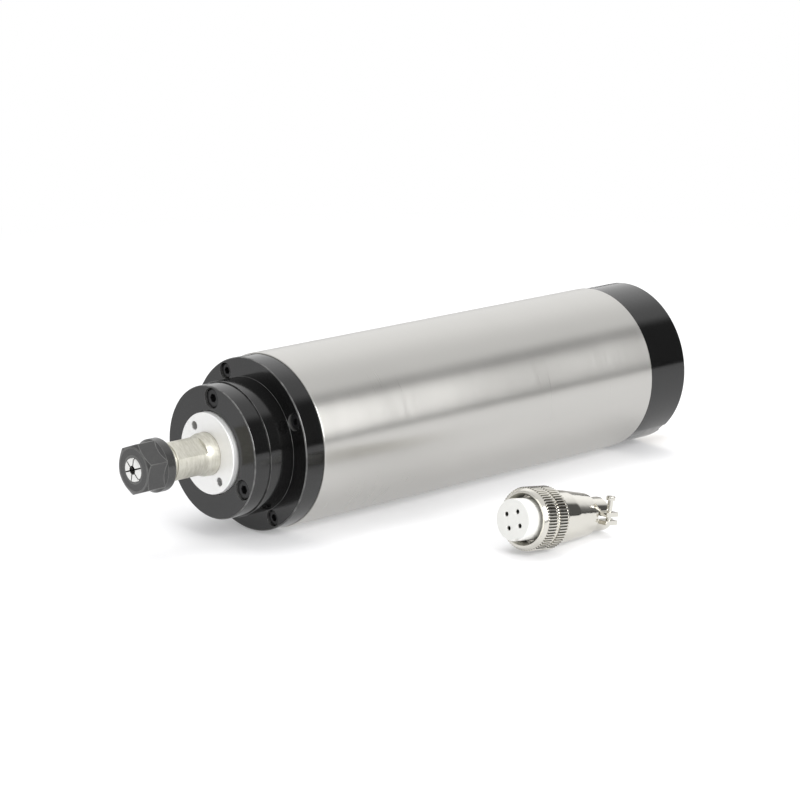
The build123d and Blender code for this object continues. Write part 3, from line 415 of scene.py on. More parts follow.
class Skin:
    """Patches of one closed surface, gathered as arrays in millimetres and welded at the end."""

    def __init__(self):
        self.points, self.faces, self.count = [], [], 0

    def add(self, points, faces):
        """Keep one more patch, its faces given by its own points' numbers."""
        self.points.append(points)
        self.faces += [[i + self.count for i in face] for face in faces]
        self.count += len(points)

    def grid(self, points, wrap=True, gaps=()):
        """Quads over rows of points that close round; gaps are rows not joined to the next."""
        rows, columns, _ = points.shape
        joined = [k for k in range(rows if wrap else rows - 1) if k not in gaps]
        i, j = np.meshgrid(joined, np.arange(columns), indexing="ij")
        k, m = (i + 1) % rows, (j + 1) % columns
        quads = np.stack([i * columns + j, k * columns + j, k * columns + m, i * columns + m], -1)
        self.add(points.reshape(-1, 3), quads.reshape(-1, 4).tolist())

    def well(self, x, inwards, centre, steps, edge, columns=48):
        """A stepped round hole from a face at x; steps are its (radius, depth) in order."""
        t = np.linspace(0, np.pi / 2, 5)
        mouth = steps[0][0]
        profile = [(0, mouth + edge * (1 + GUARD))]
        profile += list(zip(edge * (1 - np.cos(t)), mouth + edge * (1 - np.sin(t))))
        profile.append((edge * (1 + GUARD), mouth))
        for i, (radius, depth) in enumerate(steps):
            inner = steps[i + 1][0] if i + 1 < len(steps) else 0.0
            profile += [(depth, radius), (depth, inner)]
        points = revolved(np.array(profile), even_angles(columns))
        points[..., 0] = x + inwards * points[..., 0]
        points[..., 1:] += centre
        self.grid(points, wrap=False)
        return points[0][:, 1:]

    def plate(self, x, outer, loops):
        """A flat face at x inside an outer loop of (y, z) points and outside the other loops."""
        loops = [outer, *loops]
        starts = np.cumsum([0] + [len(loop) for loop in loops])
        rings = [list(range(a, b)) for a, b in zip(starts, starts[1:])]
        flat = [Vector(point) for point in np.concatenate(loops)]
        made, _, faces, _, _, owners = delaunay_2d_cdt(flat, [], rings, 1, 1e-6)
        kept = [face for face, owner in zip(faces, owners) if list(owner) == [0]]
        self.add(np.array([(x, *point) for point in made]), kept)

    def mesh(self, name):
        """The closed mesh: patches welded, faces outwards, sharp edges marked, bends stored."""
        mesh = bpy.data.meshes.new(name)
        mesh.from_pydata(np.concatenate(self.points) * MM, [], self.faces)
        bm = bmesh.new()
        bm.from_mesh(mesh)
        bmesh.ops.remove_doubles(bm, verts=bm.verts, dist=WELD_SKIN)
        bmesh.ops.delete(bm, geom=[v for v in bm.verts if not v.link_faces], context="VERTS")
        bmesh.ops.recalc_face_normals(bm, faces=bm.faces)
        bm.to_mesh(mesh)
        bm.free()
        mesh.shade_smooth()
        mesh.set_sharp_from_angle(angle=math.radians(SHARP_SKIN))
        # the bends also mask the painted edge highlight of the black finishes
        store(mesh, "bend", bend_of(mesh))
        return mesh


def store(mesh, name, values):
    """Keep a number for each point of a mesh."""
    mesh.attributes.new(name, "FLOAT", "POINT").data.foreach_set("value", values.astype(np.float32))


def bend_of(mesh):
    """How far the faces round each point turn from one another.

    It is one less the length of the mean of their normals.
    """
    normals = np.empty(3 * len(mesh.polygons), np.float32)
    mesh.polygons.foreach_get("normal", normals)
    sides = np.empty(len(mesh.polygons), np.int32)
    mesh.polygons.foreach_get("loop_total", sides)
    corners = np.empty(len(mesh.loops), np.int32)
    mesh.loops.foreach_get("vertex_index", corners)
    around = np.repeat(normals.reshape(-1, 3), sides, axis=0)
    total = np.stack([np.bincount(corners, around[:, k], len(mesh.vertices)) for k in range(3)], 1)
    return 1 - np.linalg.norm(total, axis=1) / np.bincount(corners, minlength=len(mesh.vertices))


def turned(name, corners, faces=None, angles=None, radius=None, carve=None):
    """Mesh of a turned piece, from its (x, radius, rounding) corners.

    faces maps a corner's number to the wells, as (centre, steps, edge), in the flat face that
    runs from it to the next corner. carve changes the grid's points, given each corner's rows.
    """
    outline, ends = rounded(corners)
    points = revolved(outline, even_angles(ROUND) if angles is None else angles, radius)
    if carve:
        carve(points, ends)
    on_axis = outline[:, 1] == 0
    skin = Skin()
    skin.grid(points, gaps=[ends[i][1] for i in (faces or {})]
              + list(np.flatnonzero(on_axis & np.roll(on_axis, -1))))
    for i, wells in (faces or {}).items():
        near, far = points[ends[i][1]], points[ends[(i + 1) % len(corners)][0]]
        grows = corners[(i + 1) % len(corners)][1] > corners[i][1]
        inner, outer = (near, far) if grows else (far, near)
        inwards = 1 if grows else -1
        x = near[0, 0]
        hollows = [inner[:, 1:]] if np.ptp(inner[:, 1:]) > 0 else []
        skin.plate(x, outer[:, 1:], hollows + [skin.well(x, inwards, *well) for well in wells])
    return skin.mesh(name)


def add_piece(name, mesh, *nodes):
    """Put a finished piece in the scene: it stands for nodes, with their body and finish."""
    piece = bpy.data.objects.new(name, mesh)
    bpy.context.scene.collection.objects.link(piece)
    mesh.materials.clear()
    mesh.materials.append(finish(NODE_SLOT[nodes[0]]))
    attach(piece, NODE_BODY[nodes[0]])
    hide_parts(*nodes)
    return piece


def softened(node, width, segments=2):
    """A part's own surface, its triangles merged, with each sharp edge rolled over by width."""
    mesh = NODES[node].data.copy()
    mesh.name = node + "_finished"
    bm = bmesh.new()
    bm.from_mesh(mesh)
    bmesh.ops.remove_doubles(bm, verts=bm.verts, dist=WELD_PART)
    bm.to_mesh(mesh)
    bm.free()
    mesh.shade_smooth()
    mesh.set_sharp_from_angle(angle=math.radians(SHARP_PART))
    piece = add_piece(mesh.name, mesh, node)
    edge = piece.modifiers.new("edges", "BEVEL")
    edge.width = width * MM
    edge.segments = segments
    edge.limit_method = "ANGLE"
    edge.angle_limit = math.radians(SHARP_PART)
    edge.use_clamp_overlap = False
    flat = piece.modifiers.new("flat_faces", "WEIGHTED_NORMAL")
    flat.mode = "FACE_AREA"
    flat.weight = 80
    return piece


def plug_axes():
    """Origin and axes of the plug's own frame, with X from its front lip to its cable."""
    joint = JOINTS["ring_turn"]
    axis = np.array(joint["axis"])
    across = np.cross((0, 0, 1), axis)
    across /= np.linalg.norm(across)
    up = np.cross(axis, across)
    ring_middle = bpy.context.scene.spindle_plug.ring_length / 2
    origin = np.array(joint["pos_m"]) / MM - axis * ring_middle
    return origin, np.array([axis, across, up])


def plug_points(points):
    """Carry points from the plug's own frame to its place."""
    origin, axes = plug_axes()
    return origin + points @ axes


def plug_frame(points):
    """Carry points from their place to the plug's own frame."""
    origin, axes = plug_axes()
    return (points - origin) @ axes.T


# ---- settings --------------------------------------------------------------------------------
def length(name, description, default, low=0.0, high=1000.0):
    """Setting for a length in millimetres."""
    return FloatProperty(name=name, description=description + ", in millimetres", default=default,
                         min=low, max=high)


def heading(name, description, degrees):
    """Setting for an angle round an axis."""
    return FloatProperty(name=name, description=description, default=math.radians(degrees),
                         subtype="ANGLE")


def power(name, description, default):
    """Setting for a lamp's power in watts."""
    return FloatProperty(name=name, description=description, default=default, min=0.0, unit="POWER")


def bright(name, description, default):
    """Setting for a brightness, where plain white is 1."""
    return FloatProperty(name=name, description=description, default=default, min=0.0)


def metres(name, description, default, low=0.0):
    """Setting for a length on the stage, in metres."""
    return FloatProperty(name=name, description=description, default=default, min=low, unit="LENGTH")


def tint(name, description, default):
    """Setting for a colour."""
    return FloatVectorProperty(name=name, description=description, subtype="COLOR", size=3,
                               default=default, min=0.0, max=1.0)


def share(name, description, default):
    """Setting for a share from 0 to 1."""
    return FloatProperty(name=name, description=description, default=default, min=0.0, max=1.0,
                         subtype="FACTOR")


class SPINDLE_PG_body(bpy.types.PropertyGroup):
    """Sizes and finishes of the tube, flange, cover and rear cap."""
    tube_colour: tint("Tube colour", "Colour of the steel tube", (0.62, 0.61, 0.585))
    tube_roughness: share("Tube roughness", "Roughness of the tube's polish", 0.3)
    tube_spread: share("Tube spread", "How far a reflection spreads along the tube", 0.8)
    black_colour: tint("Black colour", "Colour of the anodised pieces", (0.003, 0.003, 0.003))
    # sets the painted highlight on the black parts' edges
    edge_highlight: share("Edge highlight", "How bright the painted highlight on the black parts' edges is", 0.3)
    black_roughness: share("Black roughness", "Roughness of the anodised pieces", 0.13)
    edge: length("Edge", "Width of the rolled edges", 0.15, 0.01, 1.0)
    tube_edge: length("Tube edge", "Rounding of the tube's ends", 0.3, 0.01, 1.0)
    tube_wall: length("Tube wall", "Thickness of the steel tube", 1.5, 0.2, 10.0)
    root: length("Root", "Rounding where the boss meets the flange", 0.1, 0.01, 1.0)
    rim: length("Rim", "Rounding of the rims that face outwards", 0.5, 0.01, 2.0)
    cover_step: length("Cover step", "How far the boss stands out round the cover", 0.45)
    bearing_r: length("Bearing radius", "Radius of the bearings' seat", 17.5)
    bearing_depth: length("Bearing depth", "Depth of that seat from the boss's face", 21.0)
    bearing_lip: length("Bearing lip", "How far the flange reaches in behind the bearings", 3.5)
    spigot_r: length("Spigot radius", "Radius of the flange's spigot in the water jacket", 25.0)
    cap_spigot_r: length("Cap spigot radius", "Radius of the rear cap's spigot", 25.6)
    cap_hollow_r: length("Cap hollow radius", "Radius of the hollow in that spigot", 23.0)
    cap_hole_depth: length("Cap hole depth", "Depth of the cap's screw and socket holes", 15.0)
    slot_angle: heading("Slot angle", "Angle of the rear rim's pry slot", 230.0)
    slot_width: length("Slot width", "Width of the pry slot", 4.5)
    slot_depth: length("Slot depth", "Depth of the pry slot", 1.6)
    head_sink: length("Head sink", "How far screw heads lie under the face", 0.8)
    hole_edge: length("Hole edge", "Rounding of the holes' rims", 0.08)
    m3_hole: length("Small counterbore", "Radius of the flange's and cap's counterbores", 3.05)
    m3_head: length("Small head", "Height of the flange's and cap's screw heads", 3.0)
    m3_shank: length("Small shank", "Radius of the flange's and cap's screw holes", 1.6)
    m4_hole: length("Large counterbore", "Radius of the cover's counterbores", 3.8)
    m4_head: length("Large head", "Height of the cover screws' heads", 4.0)
    m4_shank: length("Large shank", "Radius of the cover's screw holes", 2.1)
    flange_circle: length("Flange circle", "Radius of the flange's and cap's screw circles", 28.3)
    flange_angle: heading("Flange angle", "Angle of the first flange screw", 63.0)
    cover_circle: length("Cover circle", "Radius of the cover screws' circle", 20.15)
    cover_angle: heading("Cover angle", "Angle of the first cover screw", 91.5)
    socket_hole: length("Socket hole", "Radius of the hole for the socket", 8.5)
    tail_hole: length("Tail hole", "Radius of the holes for the hose tails", 4.0)
    tail_thread: length("Tail thread", "Depth that the hose tails screw in", 7.0)
    tail_across: length("Tail width", "Width of a hose tail's hexagon over its corners", 11.547)
    tail_edge: length("Tail hole edge", "Rounding of the rims of the hose tails' holes", 0.05)
    water_r: length("Water hole", "Radius of the water's hole under a hose tail", 3.0)
    water_depth: length("Water hole depth", "Depth of that hole", 10.0)


class SPINDLE_PG_nose(bpy.types.PropertyGroup):
    """Sizes of the clamping nut, the slinger disc and the recess round it."""
    nut_across: length("Nut across flats", "Width of the clamping nut's hexagon", 17.0)
    nut_hex_length: length("Hexagon length", "Length of the clamping nut's hexagon", 8.2)
    nut_hex_angle: heading("Hexagon angle", "Angle of one of its corners", 40.0)
    nut_face_radius: length("Face radius", "Where the nut's face begins to fall away", 8.3)
    nut_step: length("Step", "Height of the cone between the hexagon and the skirt", 1.3)
    nut_edge: length("Skirt edge", "Rounding at the back of the skirt", 0.7)
    nut_bevel: heading("Face bevel", "Slope of the cone that falls away from the face", 30.0)
    nut_bore: length("Thread radius", "Radius of the nut's bore behind its lip", 7.05)
    nut_mouth: length("Mouth radius", "Radius of the hole in the nut's face", 4.5)
    cone_length: length("Cone length", "Length of the cone inside that presses on the collet", 2.4)
    cone_r: length("Cone radius", "Radius of that cone at its back", 5.87)
    lip_start: length("Lip start", "From the face to the lip that draws the collet", 3.4)
    lip_end: length("Lip end", "From the face to the lip's back", 4.4)
    lip_r: length("Lip radius", "Radius inside the lip", 5.1)
    edge: length("Edge", "Width of the rolled edges on the nose", 0.1, 0.01, 1.0)
    recess_r: length("Recess radius", "Radius of the cover's recess round the disc", 15.45)
    recess_depth: length("Recess depth", "Depth of that recess", 1.45)
    cover_bore: length("Cover bore", "Radius of the cover's bore", 10.7)
    disc_thickness: length("Disc thickness", "Thickness of the slinger disc", 3.1)
    disc_chamfer: length("Disc chamfer", "Width of the disc's bevelled rim", 0.4)
    hub_r: length("Hub radius", "Radius of the disc's hub", 10.3)
    seat_r: length("Seat radius", "Radius of the shaft under the disc", 8.5)
    collar_r: length("Collar radius", "Radius of the disc's hole in front", 7.95)
    collar_depth: length("Collar depth", "Depth of that hole", 1.0)
    pin_circle: length("Spanner circle", "Radius of the spanner holes' circle", 11.45)
    pin_angle: heading("Spanner angle", "Angle of the first spanner hole", 53.0)
    pin_hole: length("Spanner hole", "Radius of the spanner holes", 1.6)
    pin_depth: length("Spanner depth", "Depth of the spanner holes", 2.0)


class SPINDLE_PG_plug(bpy.types.PropertyGroup):
    """Sizes of the coupling ring, and the plug's plating."""
    ring_length: length("Ring length", "Length of the coupling ring", 13.4)
    ring_radius: length("Ring radius", "Radius of the ring between its bands", 11.0)
    lip_radius: length("Lip radius", "Radius of the ring's front lip", 10.2)
    lip_length: length("Lip length", "Length of the cone behind the lip", 1.2)
    bore_radius: length("Bore radius", "Radius of the ring's mouth", 8.5)
    mouth_radius: length("Mouth radius", "Radius of the flare at the ring's mouth", 9.4)
    mouth_length: length("Mouth length", "Length of that flare", 1.5)
    chamber_radius: length("Chamber radius", "Radius of the chamber at the ring's back", 10.0)
    chamber_length: length("Chamber length", "Length of that chamber", 6.9)
    knurl_radius: length("Knurl radius", "Radius over the teeth", 11.5)
    knurl_depth: length("Knurl depth", "Depth of the grooves between teeth", 0.6)
    groove_shade: share("Groove shade", "How dark the grooves between teeth look", 0.7)
    knurl_count: IntProperty(name="Teeth", description="Number of teeth round each band", default=64,
                             min=12, max=200)
    band_width: length("Band width", "Width of each knurled band", 5.0)
    band_start: length("Band start", "Where the first band starts, from the lip", 1.6)
    band_pitch: length("Band pitch", "Distance from one band to the next", 6.1)
    nickel_colour: tint("Nickel colour", "Colour of the plating", (0.77, 0.75, 0.69))
    nickel_roughness: share("Nickel roughness", "Roughness of the plating", 0.12)
    edge: length("Edge", "Width of the rolled edges on the plug", 0.12, 0.01, 1.0)


class SPINDLE_PG_stage(bpy.types.PropertyGroup):
    """Floor, lamps, room and lens."""
    floor_colour: tint("Floor colour", "Colour of the floor", (0.81, 0.81, 0.82))
    floor_size: metres("Floor size", "Side of the floor", 2.4, 1.0)
    floor_near: metres("Floor near", "Where the floor begins to turn plain white", 0.2)
    floor_far: metres("Floor far", "Where it is plain white", 0.6)
    floor_veil: share("Floor veil", "Share of the near floor that the camera sees as light", 0.2)
    floor_glow: bright("Floor glow", "Brightness of that light", 1.2)
    mirror_veil: share("Mirror veil", "The same share for reflections", 0.58)
    mirror_glow: bright("Mirror glow", "Brightness of that light", 0.74)
    top_power: power("Top light", "Power of the soft box overhead", 16.5)
    side_power: power("Side light", "Power of the soft box on the camera's right", 19.0)
    room: share("Room", "Brightness of the room", 0.8)
    backdrop: bright("Backdrop", "Brightness of the backdrop behind the object", 1.15)
    backdrop_side: FloatVectorProperty(name="Backdrop side", size=2, default=(47.0, 15.0),
                                       description="Heading and height of the backdrop, in degrees")
    dark_side: FloatVectorProperty(name="Dark side", size=2, default=(-36.0, 16.0),
                                   description="Heading and height of the dark opening, in degrees")
    dark_level: share("Dark level", "Brightness of the opening as a share of the room's", 0.12)
    lens: FloatProperty(name="Lens", description="Focal length of the camera", default=126.91,
                        min=1.0, subtype="DISTANCE_CAMERA")


# ---- pieces ----------------------------------------------------------------------------------
FINE = 0.5                  # edges of small pieces, as a share of their neighbours' edges
REAR = 0.6                  # the same for the fittings on the rear cap
FLANGE_HOLE = 0.95          # depth of the screws' holes, as a share of the flange's thickness
COVER_HOLE = 0.9            # the same for the cover


class SPINDLE_OT_tube(bpy.types.Operator):
    """Steel tube, a ring section turned round the axis."""
    bl_idname = "spindle.tube"
    bl_label = "Body tube"

    def execute(self, context):
        looks = context.scene.spindle_body
        x0, x1 = span("body_tube")
        outer = reach("body_tube")
        inner = outer - looks.tube_wall
        corners = [(x0, inner, 0), (x0, outer, looks.tube_edge), (x1, outer, looks.tube_edge),
                   (x1, inner, 0)]
        mesh = turned("steel_tube", corners, angles=even_angles(3 * ROUND // 2))
        # The gloss spreads along the tangent, which turns round the texture space's own Z axis:
        # this far from it in Y the tangent is X.
        mesh.use_auto_texspace = False
        mesh.texspace_location = (0, 100, 0)
        mesh.texspace_size = (1, 1, 1)
        add_piece("steel_tube", mesh, "body_tube")
        return {"FINISHED"}


class SPINDLE_OT_front(bpy.types.Operator):
    """Flange with its bearing boss, and the cover in front of it.

    Turned outlines with rounded corners; screw heads sink into stepped wells in the flat faces.
    """
    bl_idname = "spindle.front"
    bl_label = "Front flange and cover"

    def execute(self, context):
        s = context.scene.spindle_body
        n = context.scene.spindle_nose
        x_boss, spigot_end = span("front_flange")
        x_front = span("body_tube")[0]
        x_flange = span("flange_screws")[0] - s.head_sink
        x_cover, x_pilot = span("front_cover")
        flange_r, cover_r = reach("front_flange"), reach("front_cover")
        boss_r = cover_r + s.cover_step
        flange_steps = [(s.m3_hole, s.head_sink + s.m3_head),
                        (s.m3_shank, FLANGE_HOLE * (x_front - x_flange))]
        flange_holes = [(place, flange_steps, s.hole_edge)
                        for place in ring_places(s.flange_circle, 4, s.flange_angle)]
        cover_steps = [(s.m4_hole, s.head_sink + s.m4_head),
                       (s.m4_shank, COVER_HOLE * (x_boss - x_cover))]
        cover_holes = [(place, cover_steps, s.hole_edge)
                       for place in ring_places(s.cover_circle, 3, s.cover_angle)]
        x_lip, lip_r = x_boss + s.bearing_depth, s.bearing_r - s.bearing_lip
        flange = [(x_boss, s.bearing_r, 0), (x_boss, boss_r, s.edge), (x_flange, boss_r, s.root),
                  (x_flange, flange_r, s.rim), (x_front, flange_r, s.edge), (x_front, s.spigot_r, 0),
                  (spigot_end, s.spigot_r, 0), (spigot_end, lip_r, 0), (x_lip, lip_r, 0),
                  (x_lip, s.bearing_r, 0)]
        add_piece("flange_and_boss", turned("flange_and_boss", flange, faces={2: flange_holes}),
                  "front_flange")
        x_floor = x_cover + n.recess_depth
        cover = [(x_cover, n.recess_r, s.edge), (x_cover, cover_r, s.rim), (x_boss, cover_r, s.edge),
                 (x_boss, s.bearing_r, 0), (x_pilot, s.bearing_r, 0), (x_pilot, n.cover_bore, 0),
                 (x_floor, n.cover_bore, 0), (x_floor, n.recess_r, 0)]
        add_piece("nose_cover", turned("nose_cover", cover, faces={0: cover_holes}), "front_cover")
        return {"FINISHED"}


class SPINDLE_OT_cap(bpy.types.Operator):
    """Rear cap: a turned cup with wells for its screws, its socket and the hose tails.

    Near the pry slot the rim's outline goes down the slot's wall and along its floor.
    """
    bl_idname = "spindle.cap"
    bl_label = "Rear cap"

    def execute(self, context):
        s = context.scene.spindle_body
        x_spigot = span("rear_cap")[0]
        x_rear, x_face = span("body_tube")[1], span("hose_tails")[0] + s.tail_thread
        cap_r = reach("rear_cap")
        screw_steps = [(s.m3_hole, s.head_sink + s.m3_head), (s.m3_shank, s.cap_hole_depth)]
        wells = [(place, screw_steps, s.hole_edge) for place in ring_places(s.flange_circle, 4, 0)]
        low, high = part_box("socket_shell")
        socket_at = np.array([low[1] + high[1], low[2] + high[2]]) / 2 / MM
        wells.append((socket_at, [(s.socket_hole, s.cap_hole_depth)], s.hole_edge))
        low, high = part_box("hose_tails")
        tail_y, tail_z = high[1] / MM - s.tail_across / 2, (low[2] + high[2]) / 2 / MM
        tail_steps = [(s.tail_hole, s.tail_thread), (s.water_r, s.water_depth)]
        wells += [((side * tail_y, tail_z), tail_steps, s.tail_edge) for side in (-1, 1)]
        depth = s.slot_depth
        middle, half, wall = s.slot_angle, s.slot_width / 2 / cap_r, 0.001
        edges = middle + np.array([-half - wall, -half, half, half + wall])
        angles = np.sort(np.concatenate([even_angles(ROUND), edges]))
        in_slot = np.abs(angles - middle) < half + wall / 2
        rear_rim = 5                    # its corner's number in the outline

        def pry_slot(points, ends):
            first, last = ends[rear_rim]
            along = np.linspace(0, 2, last - first + 1)[:, None]
            radius = cap_r - depth * np.clip(along, 0, 1)
            x = x_face - depth + depth * np.clip(along - 1, 0, 1)
            floor = np.stack([x + 0 * angles, radius * np.cos(angles), radius * np.sin(angles)], -1)
            points[first:last + 1, in_slot] = floor[:, in_slot]

        corners = [(x_spigot, s.cap_hollow_r, 0), (x_spigot, s.cap_spigot_r, 0),
                   (x_rear, s.cap_spigot_r, 0), (x_rear, cap_r, s.edge), (x_face - depth, cap_r, 0),
                   (x_face, cap_r, s.rim), (x_face, 0, 0), (x_rear, 0, 0), (x_rear, s.cap_hollow_r, 0)]
        mesh = turned("end_cap", corners, faces={rear_rim: wells}, angles=angles, carve=pry_slot)
        add_piece("end_cap", mesh, "rear_cap")
        return {"FINISHED"}


class SPINDLE_OT_disc(bpy.types.Operator):
    """Slinger disc: a turned nut with two spanner holes in its face."""
    bl_idname = "spindle.disc"
    bl_label = "Slinger disc"

    def execute(self, context):
        n = context.scene.spindle_nose
        x_disc, x_hub = span("slinger_nut")
        disc_r = reach("slinger_nut")
        x_back, x_collar = x_disc + n.disc_thickness, x_disc + n.collar_depth
        holes = [(place, [(n.pin_hole, n.pin_depth)], n.edge)
                 for place in ring_places(n.pin_circle, 2, n.pin_angle)]
        corners = [(x_disc, n.collar_r, n.edge), (x_disc, disc_r, n.disc_chamfer),
                   (x_back, disc_r, n.edge), (x_back, n.hub_r, 0), (x_hub, n.hub_r, 0),
                   (x_hub, n.seat_r, 0), (x_collar, n.seat_r, 0), (x_collar, n.collar_r, 0)]
        add_piece("slinger_disc", turned("slinger_disc", corners, faces={0: holes}), "slinger_nut")
        return {"FINISHED"}


class SPINDLE_OT_screws(bpy.types.Operator):
    """Socket head screws of the flange, cover, cap and socket."""
    bl_idname = "spindle.screws"
    bl_label = "Screws"

    def execute(self, context):
        for node in ("flange_screws", "cover_screws", "cap_screws", "socket_screws"):
            softened(node, FINE * context.scene.spindle_body.edge)
        return {"FINISHED"}


class SPINDLE_OT_nose(bpy.types.Operator):
    """Shaft and collet."""
    bl_idname = "spindle.nose"
    bl_label = "Shaft and collet"

    def execute(self, context):
        edge = context.scene.spindle_nose.edge
        softened("spindle_shaft", edge)
        softened("collet", FINE * edge)
        return {"FINISHED"}


def hexagon(angle, across, corner_angle):
    """Radius of a hexagon at an angle, its corners eased.

    A point's distance along each of the six flats' normals is R times the cosine of the angle
    between them, and a high power mean of those cosines stands for the largest.
    """
    flats = corner_angle + np.radians(30 + 60 * np.arange(6))
    cosines = np.clip(np.cos(angle[..., None] - flats), 0, None)
    order = 90
    return across / 2 / (cosines ** order).sum(-1) ** (1 / order)


def soft_least(a, b, size):
    """The smaller of two values, eased over size where they are close."""
    gap = np.clip(0.5 + 0.5 * (b - a) / size, 0, 1)
    return b * (1 - gap) + a * gap - size * gap * (1 - gap)


class SPINDLE_OT_nut(bpy.types.Operator):
    """Clamping nut.

    Its outside radius is the smaller of the hexagon's and of a cone that falls away from its
    face, and behind the hexagon that of a round skirt with a cone before it.
    """
    bl_idname = "spindle.nut"
    bl_label = "Clamping nut"

    def execute(self, context):
        s = context.scene.spindle_nose
        x0, x1 = span("collet_nut")
        skirt_r = reach("collet_nut")
        corner_r = s.nut_across / math.sqrt(3)
        hex_end = x0 + s.nut_hex_length
        slope = math.tan(s.nut_bevel)
        bevel = (corner_r - s.nut_face_radius) * slope
        step_start, edge_start = hex_end - s.nut_step, x1 - s.nut_edge
        along = np.concatenate([
            x0 + bevel * np.linspace(0, 1.6, 14)[1:],           # the bevelled corners
            np.linspace(x0 + 1.7 * bevel, step_start, 8),       # the flats
            np.linspace(step_start, hex_end, 14)[1:],           # the cone before the skirt
            hex_end + np.linspace(0.02, 0.4, 5),                # the hexagon's end
            np.linspace(hex_end + 0.5, edge_start, 4),          # the skirt
            x1 - s.nut_edge * (1 - np.sin(np.linspace(0, np.pi / 2, 6)[1:]))])
        face = np.array([[x0, r] for r in np.linspace(s.nut_mouth, s.nut_face_radius, 6)])
        outside = np.stack([along, np.full_like(along, skirt_r)], 1)
        back = np.array([[x1, r] for r in np.linspace(skirt_r - s.nut_edge, s.nut_bore + 0.3, 4)])
        inside = np.array([(x1, s.nut_bore), (x0 + s.lip_end, s.nut_bore), (x0 + s.lip_end, s.lip_r),
                           (x0 + s.lip_start, s.lip_r), (x0 + s.lip_start, s.cone_r),
                           (x0 + s.cone_length, s.cone_r), (x0, s.nut_mouth)])
        outline = np.concatenate([face, outside, back, inside])
        is_outside = np.zeros(len(outline), bool)
        is_outside[len(face):len(face) + len(outside)] = True
        ease, hex_fall = 0.12, 0.3      # rounding at the bevel, length over which the hexagon ends

        def radius(x, r, angle):
            cone = s.nut_face_radius + (x - x0) / slope + 0 * angle
            flats = soft_least(hexagon(angle, s.nut_across, s.nut_hex_angle), cone, ease)
            flats = flats * (1 - np.clip((x - hex_end) / hex_fall, 0, 1))
            skirt = skirt_r - s.nut_step + np.clip(x - step_start, 0, s.nut_step)
            round_off = np.clip((x - edge_start) / s.nut_edge, 0, 1)
            skirt = skirt - s.nut_edge * (1 - np.sqrt(1 - round_off ** 2))
            skirt = np.where(x < step_start, 0, skirt)
            return np.where(is_outside[:, None], np.maximum(flats, skirt), r + 0 * angle)

        skin = Skin()
        points_per_flat = 72
        skin.grid(revolved(outline, even_angles(6 * points_per_flat), radius))
        add_piece("clamping_nut", skin.mesh("clamping_nut"), "collet_nut")
        return {"FINISHED"}


class SPINDLE_OT_rear(bpy.types.Operator):
    """Socket and hose tails on the rear cap."""
    bl_idname = "spindle.rear"
    bl_label = "Rear fittings"

    def execute(self, context):
        edge = context.scene.spindle_body.edge
        for node in ("socket_shell", "socket_insulator", "socket_pins", "hose_tails"):
            softened(node, REAR * edge)
        return {"FINISHED"}


class SPINDLE_OT_ring(bpy.types.Operator):
    """Coupling ring with two knurled bands.

    On a band the radius runs from the groove's to the tooth's with a clipped sine of the angle
    times the number of teeth; elsewhere it is the outline's.
    """
    bl_idname = "spindle.ring"
    bl_label = "Coupling ring"

    def execute(self, context):
        s = context.scene.spindle_plug
        e = s.edge
        back = s.ring_length
        starts = (s.band_start, s.band_start + s.band_pitch)
        bands = [(start, start + s.band_width) for start in starts]
        corners = [(0, s.mouth_radius, e), (0, s.lip_radius, e), (s.lip_length, s.ring_radius, 0)]
        slope, guard = 0.12, 0.25       # from a band's end to its top, and to a row that holds it flat
        for start, end in bands:
            tops = (start + slope, start + guard, end - guard, end - slope)
            corners += [(start, s.ring_radius, 0), *[(x, s.knurl_radius, 0) for x in tops],
                        (end, s.ring_radius, 0)]
        x_chamber = back - s.chamber_length
        corners += [(back, s.ring_radius, e), (back, s.chamber_radius, 0),
                    (x_chamber, s.chamber_radius, 0), (x_chamber, s.bore_radius, 0),
                    (s.mouth_length, s.bore_radius, 0)]
        outline, _ = rounded(corners)
        steepness, points_per_tooth, margin = 0.9, 12, 0.05

        def radius(x, r, angle):
            tooth = np.clip(0.5 + steepness * np.sin(s.knurl_count * angle), 0, 1)
            return np.where(r > s.ring_radius + 0.01, r - s.knurl_depth * (1 - tooth), r + 0 * angle)

        skin = Skin()
        angles = even_angles(points_per_tooth * s.knurl_count)
        skin.grid(plug_points(revolved(outline, angles, radius)))
        mesh = skin.mesh("coupling_ring")
        place = np.empty(3 * len(mesh.vertices), np.float32)
        mesh.vertices.foreach_get("co", place)
        x, y, z = plug_frame(place.reshape(-1, 3) / MM).T
        on_band = sum((x > start + margin) & (x < end - margin) for start, end in bands)
        depth = np.clip((s.knurl_radius - np.hypot(y, z)) / s.knurl_depth, 0, 1) * on_band
        # the grooves' depth, which the plating uses for its painted shade
        store(mesh, "groove", depth)
        add_piece("coupling_ring", mesh, "plug_ring")
        return {"FINISHED"}


class SPINDLE_OT_plug(bpy.types.Operator):
    """Back shell, cable clamp, insulator and inner sleeve of the plug."""
    bl_idname = "spindle.plug"
    bl_label = "Plug body"

    def execute(self, context):
        edge = context.scene.spindle_plug.edge
        widths = {"plug_back_shell": edge, "plug_strap": edge, "plug_clamp_screws": FINE * edge,
                  "plug_insulator": 2 * edge, "plug_core": edge}
        for node, width in widths.items():
            softened(node, width)
        return {"FINISHED"}


class SPINDLE_OT_inside(bpy.types.Operator):
    """Finishes of the pieces that keep their plain surface."""
    bl_idname = "spindle.inside"
    bl_label = "Inner pieces"

    def execute(self, context):
        for node, part in NODES.items():
            part.data.materials.clear()
            part.data.materials.append(finish(NODE_SLOT[node]))
        return {"FINISHED"}


# ---- stage -----------------------------------------------------------------------------------
TOP_BOX = {"place": (0.2, 0.2, 1.6), "side": 1.2}           # in metres
SIDE_BOX = {"place": (0.0, -1.26, 0.61), "side": 0.9}
CAMERA_PLACE = (-0.728247, -0.765217, 0.258722)             # in metres
CAMERA_TURN = (76.278702, 0.0, -42.783841)                  # in degrees


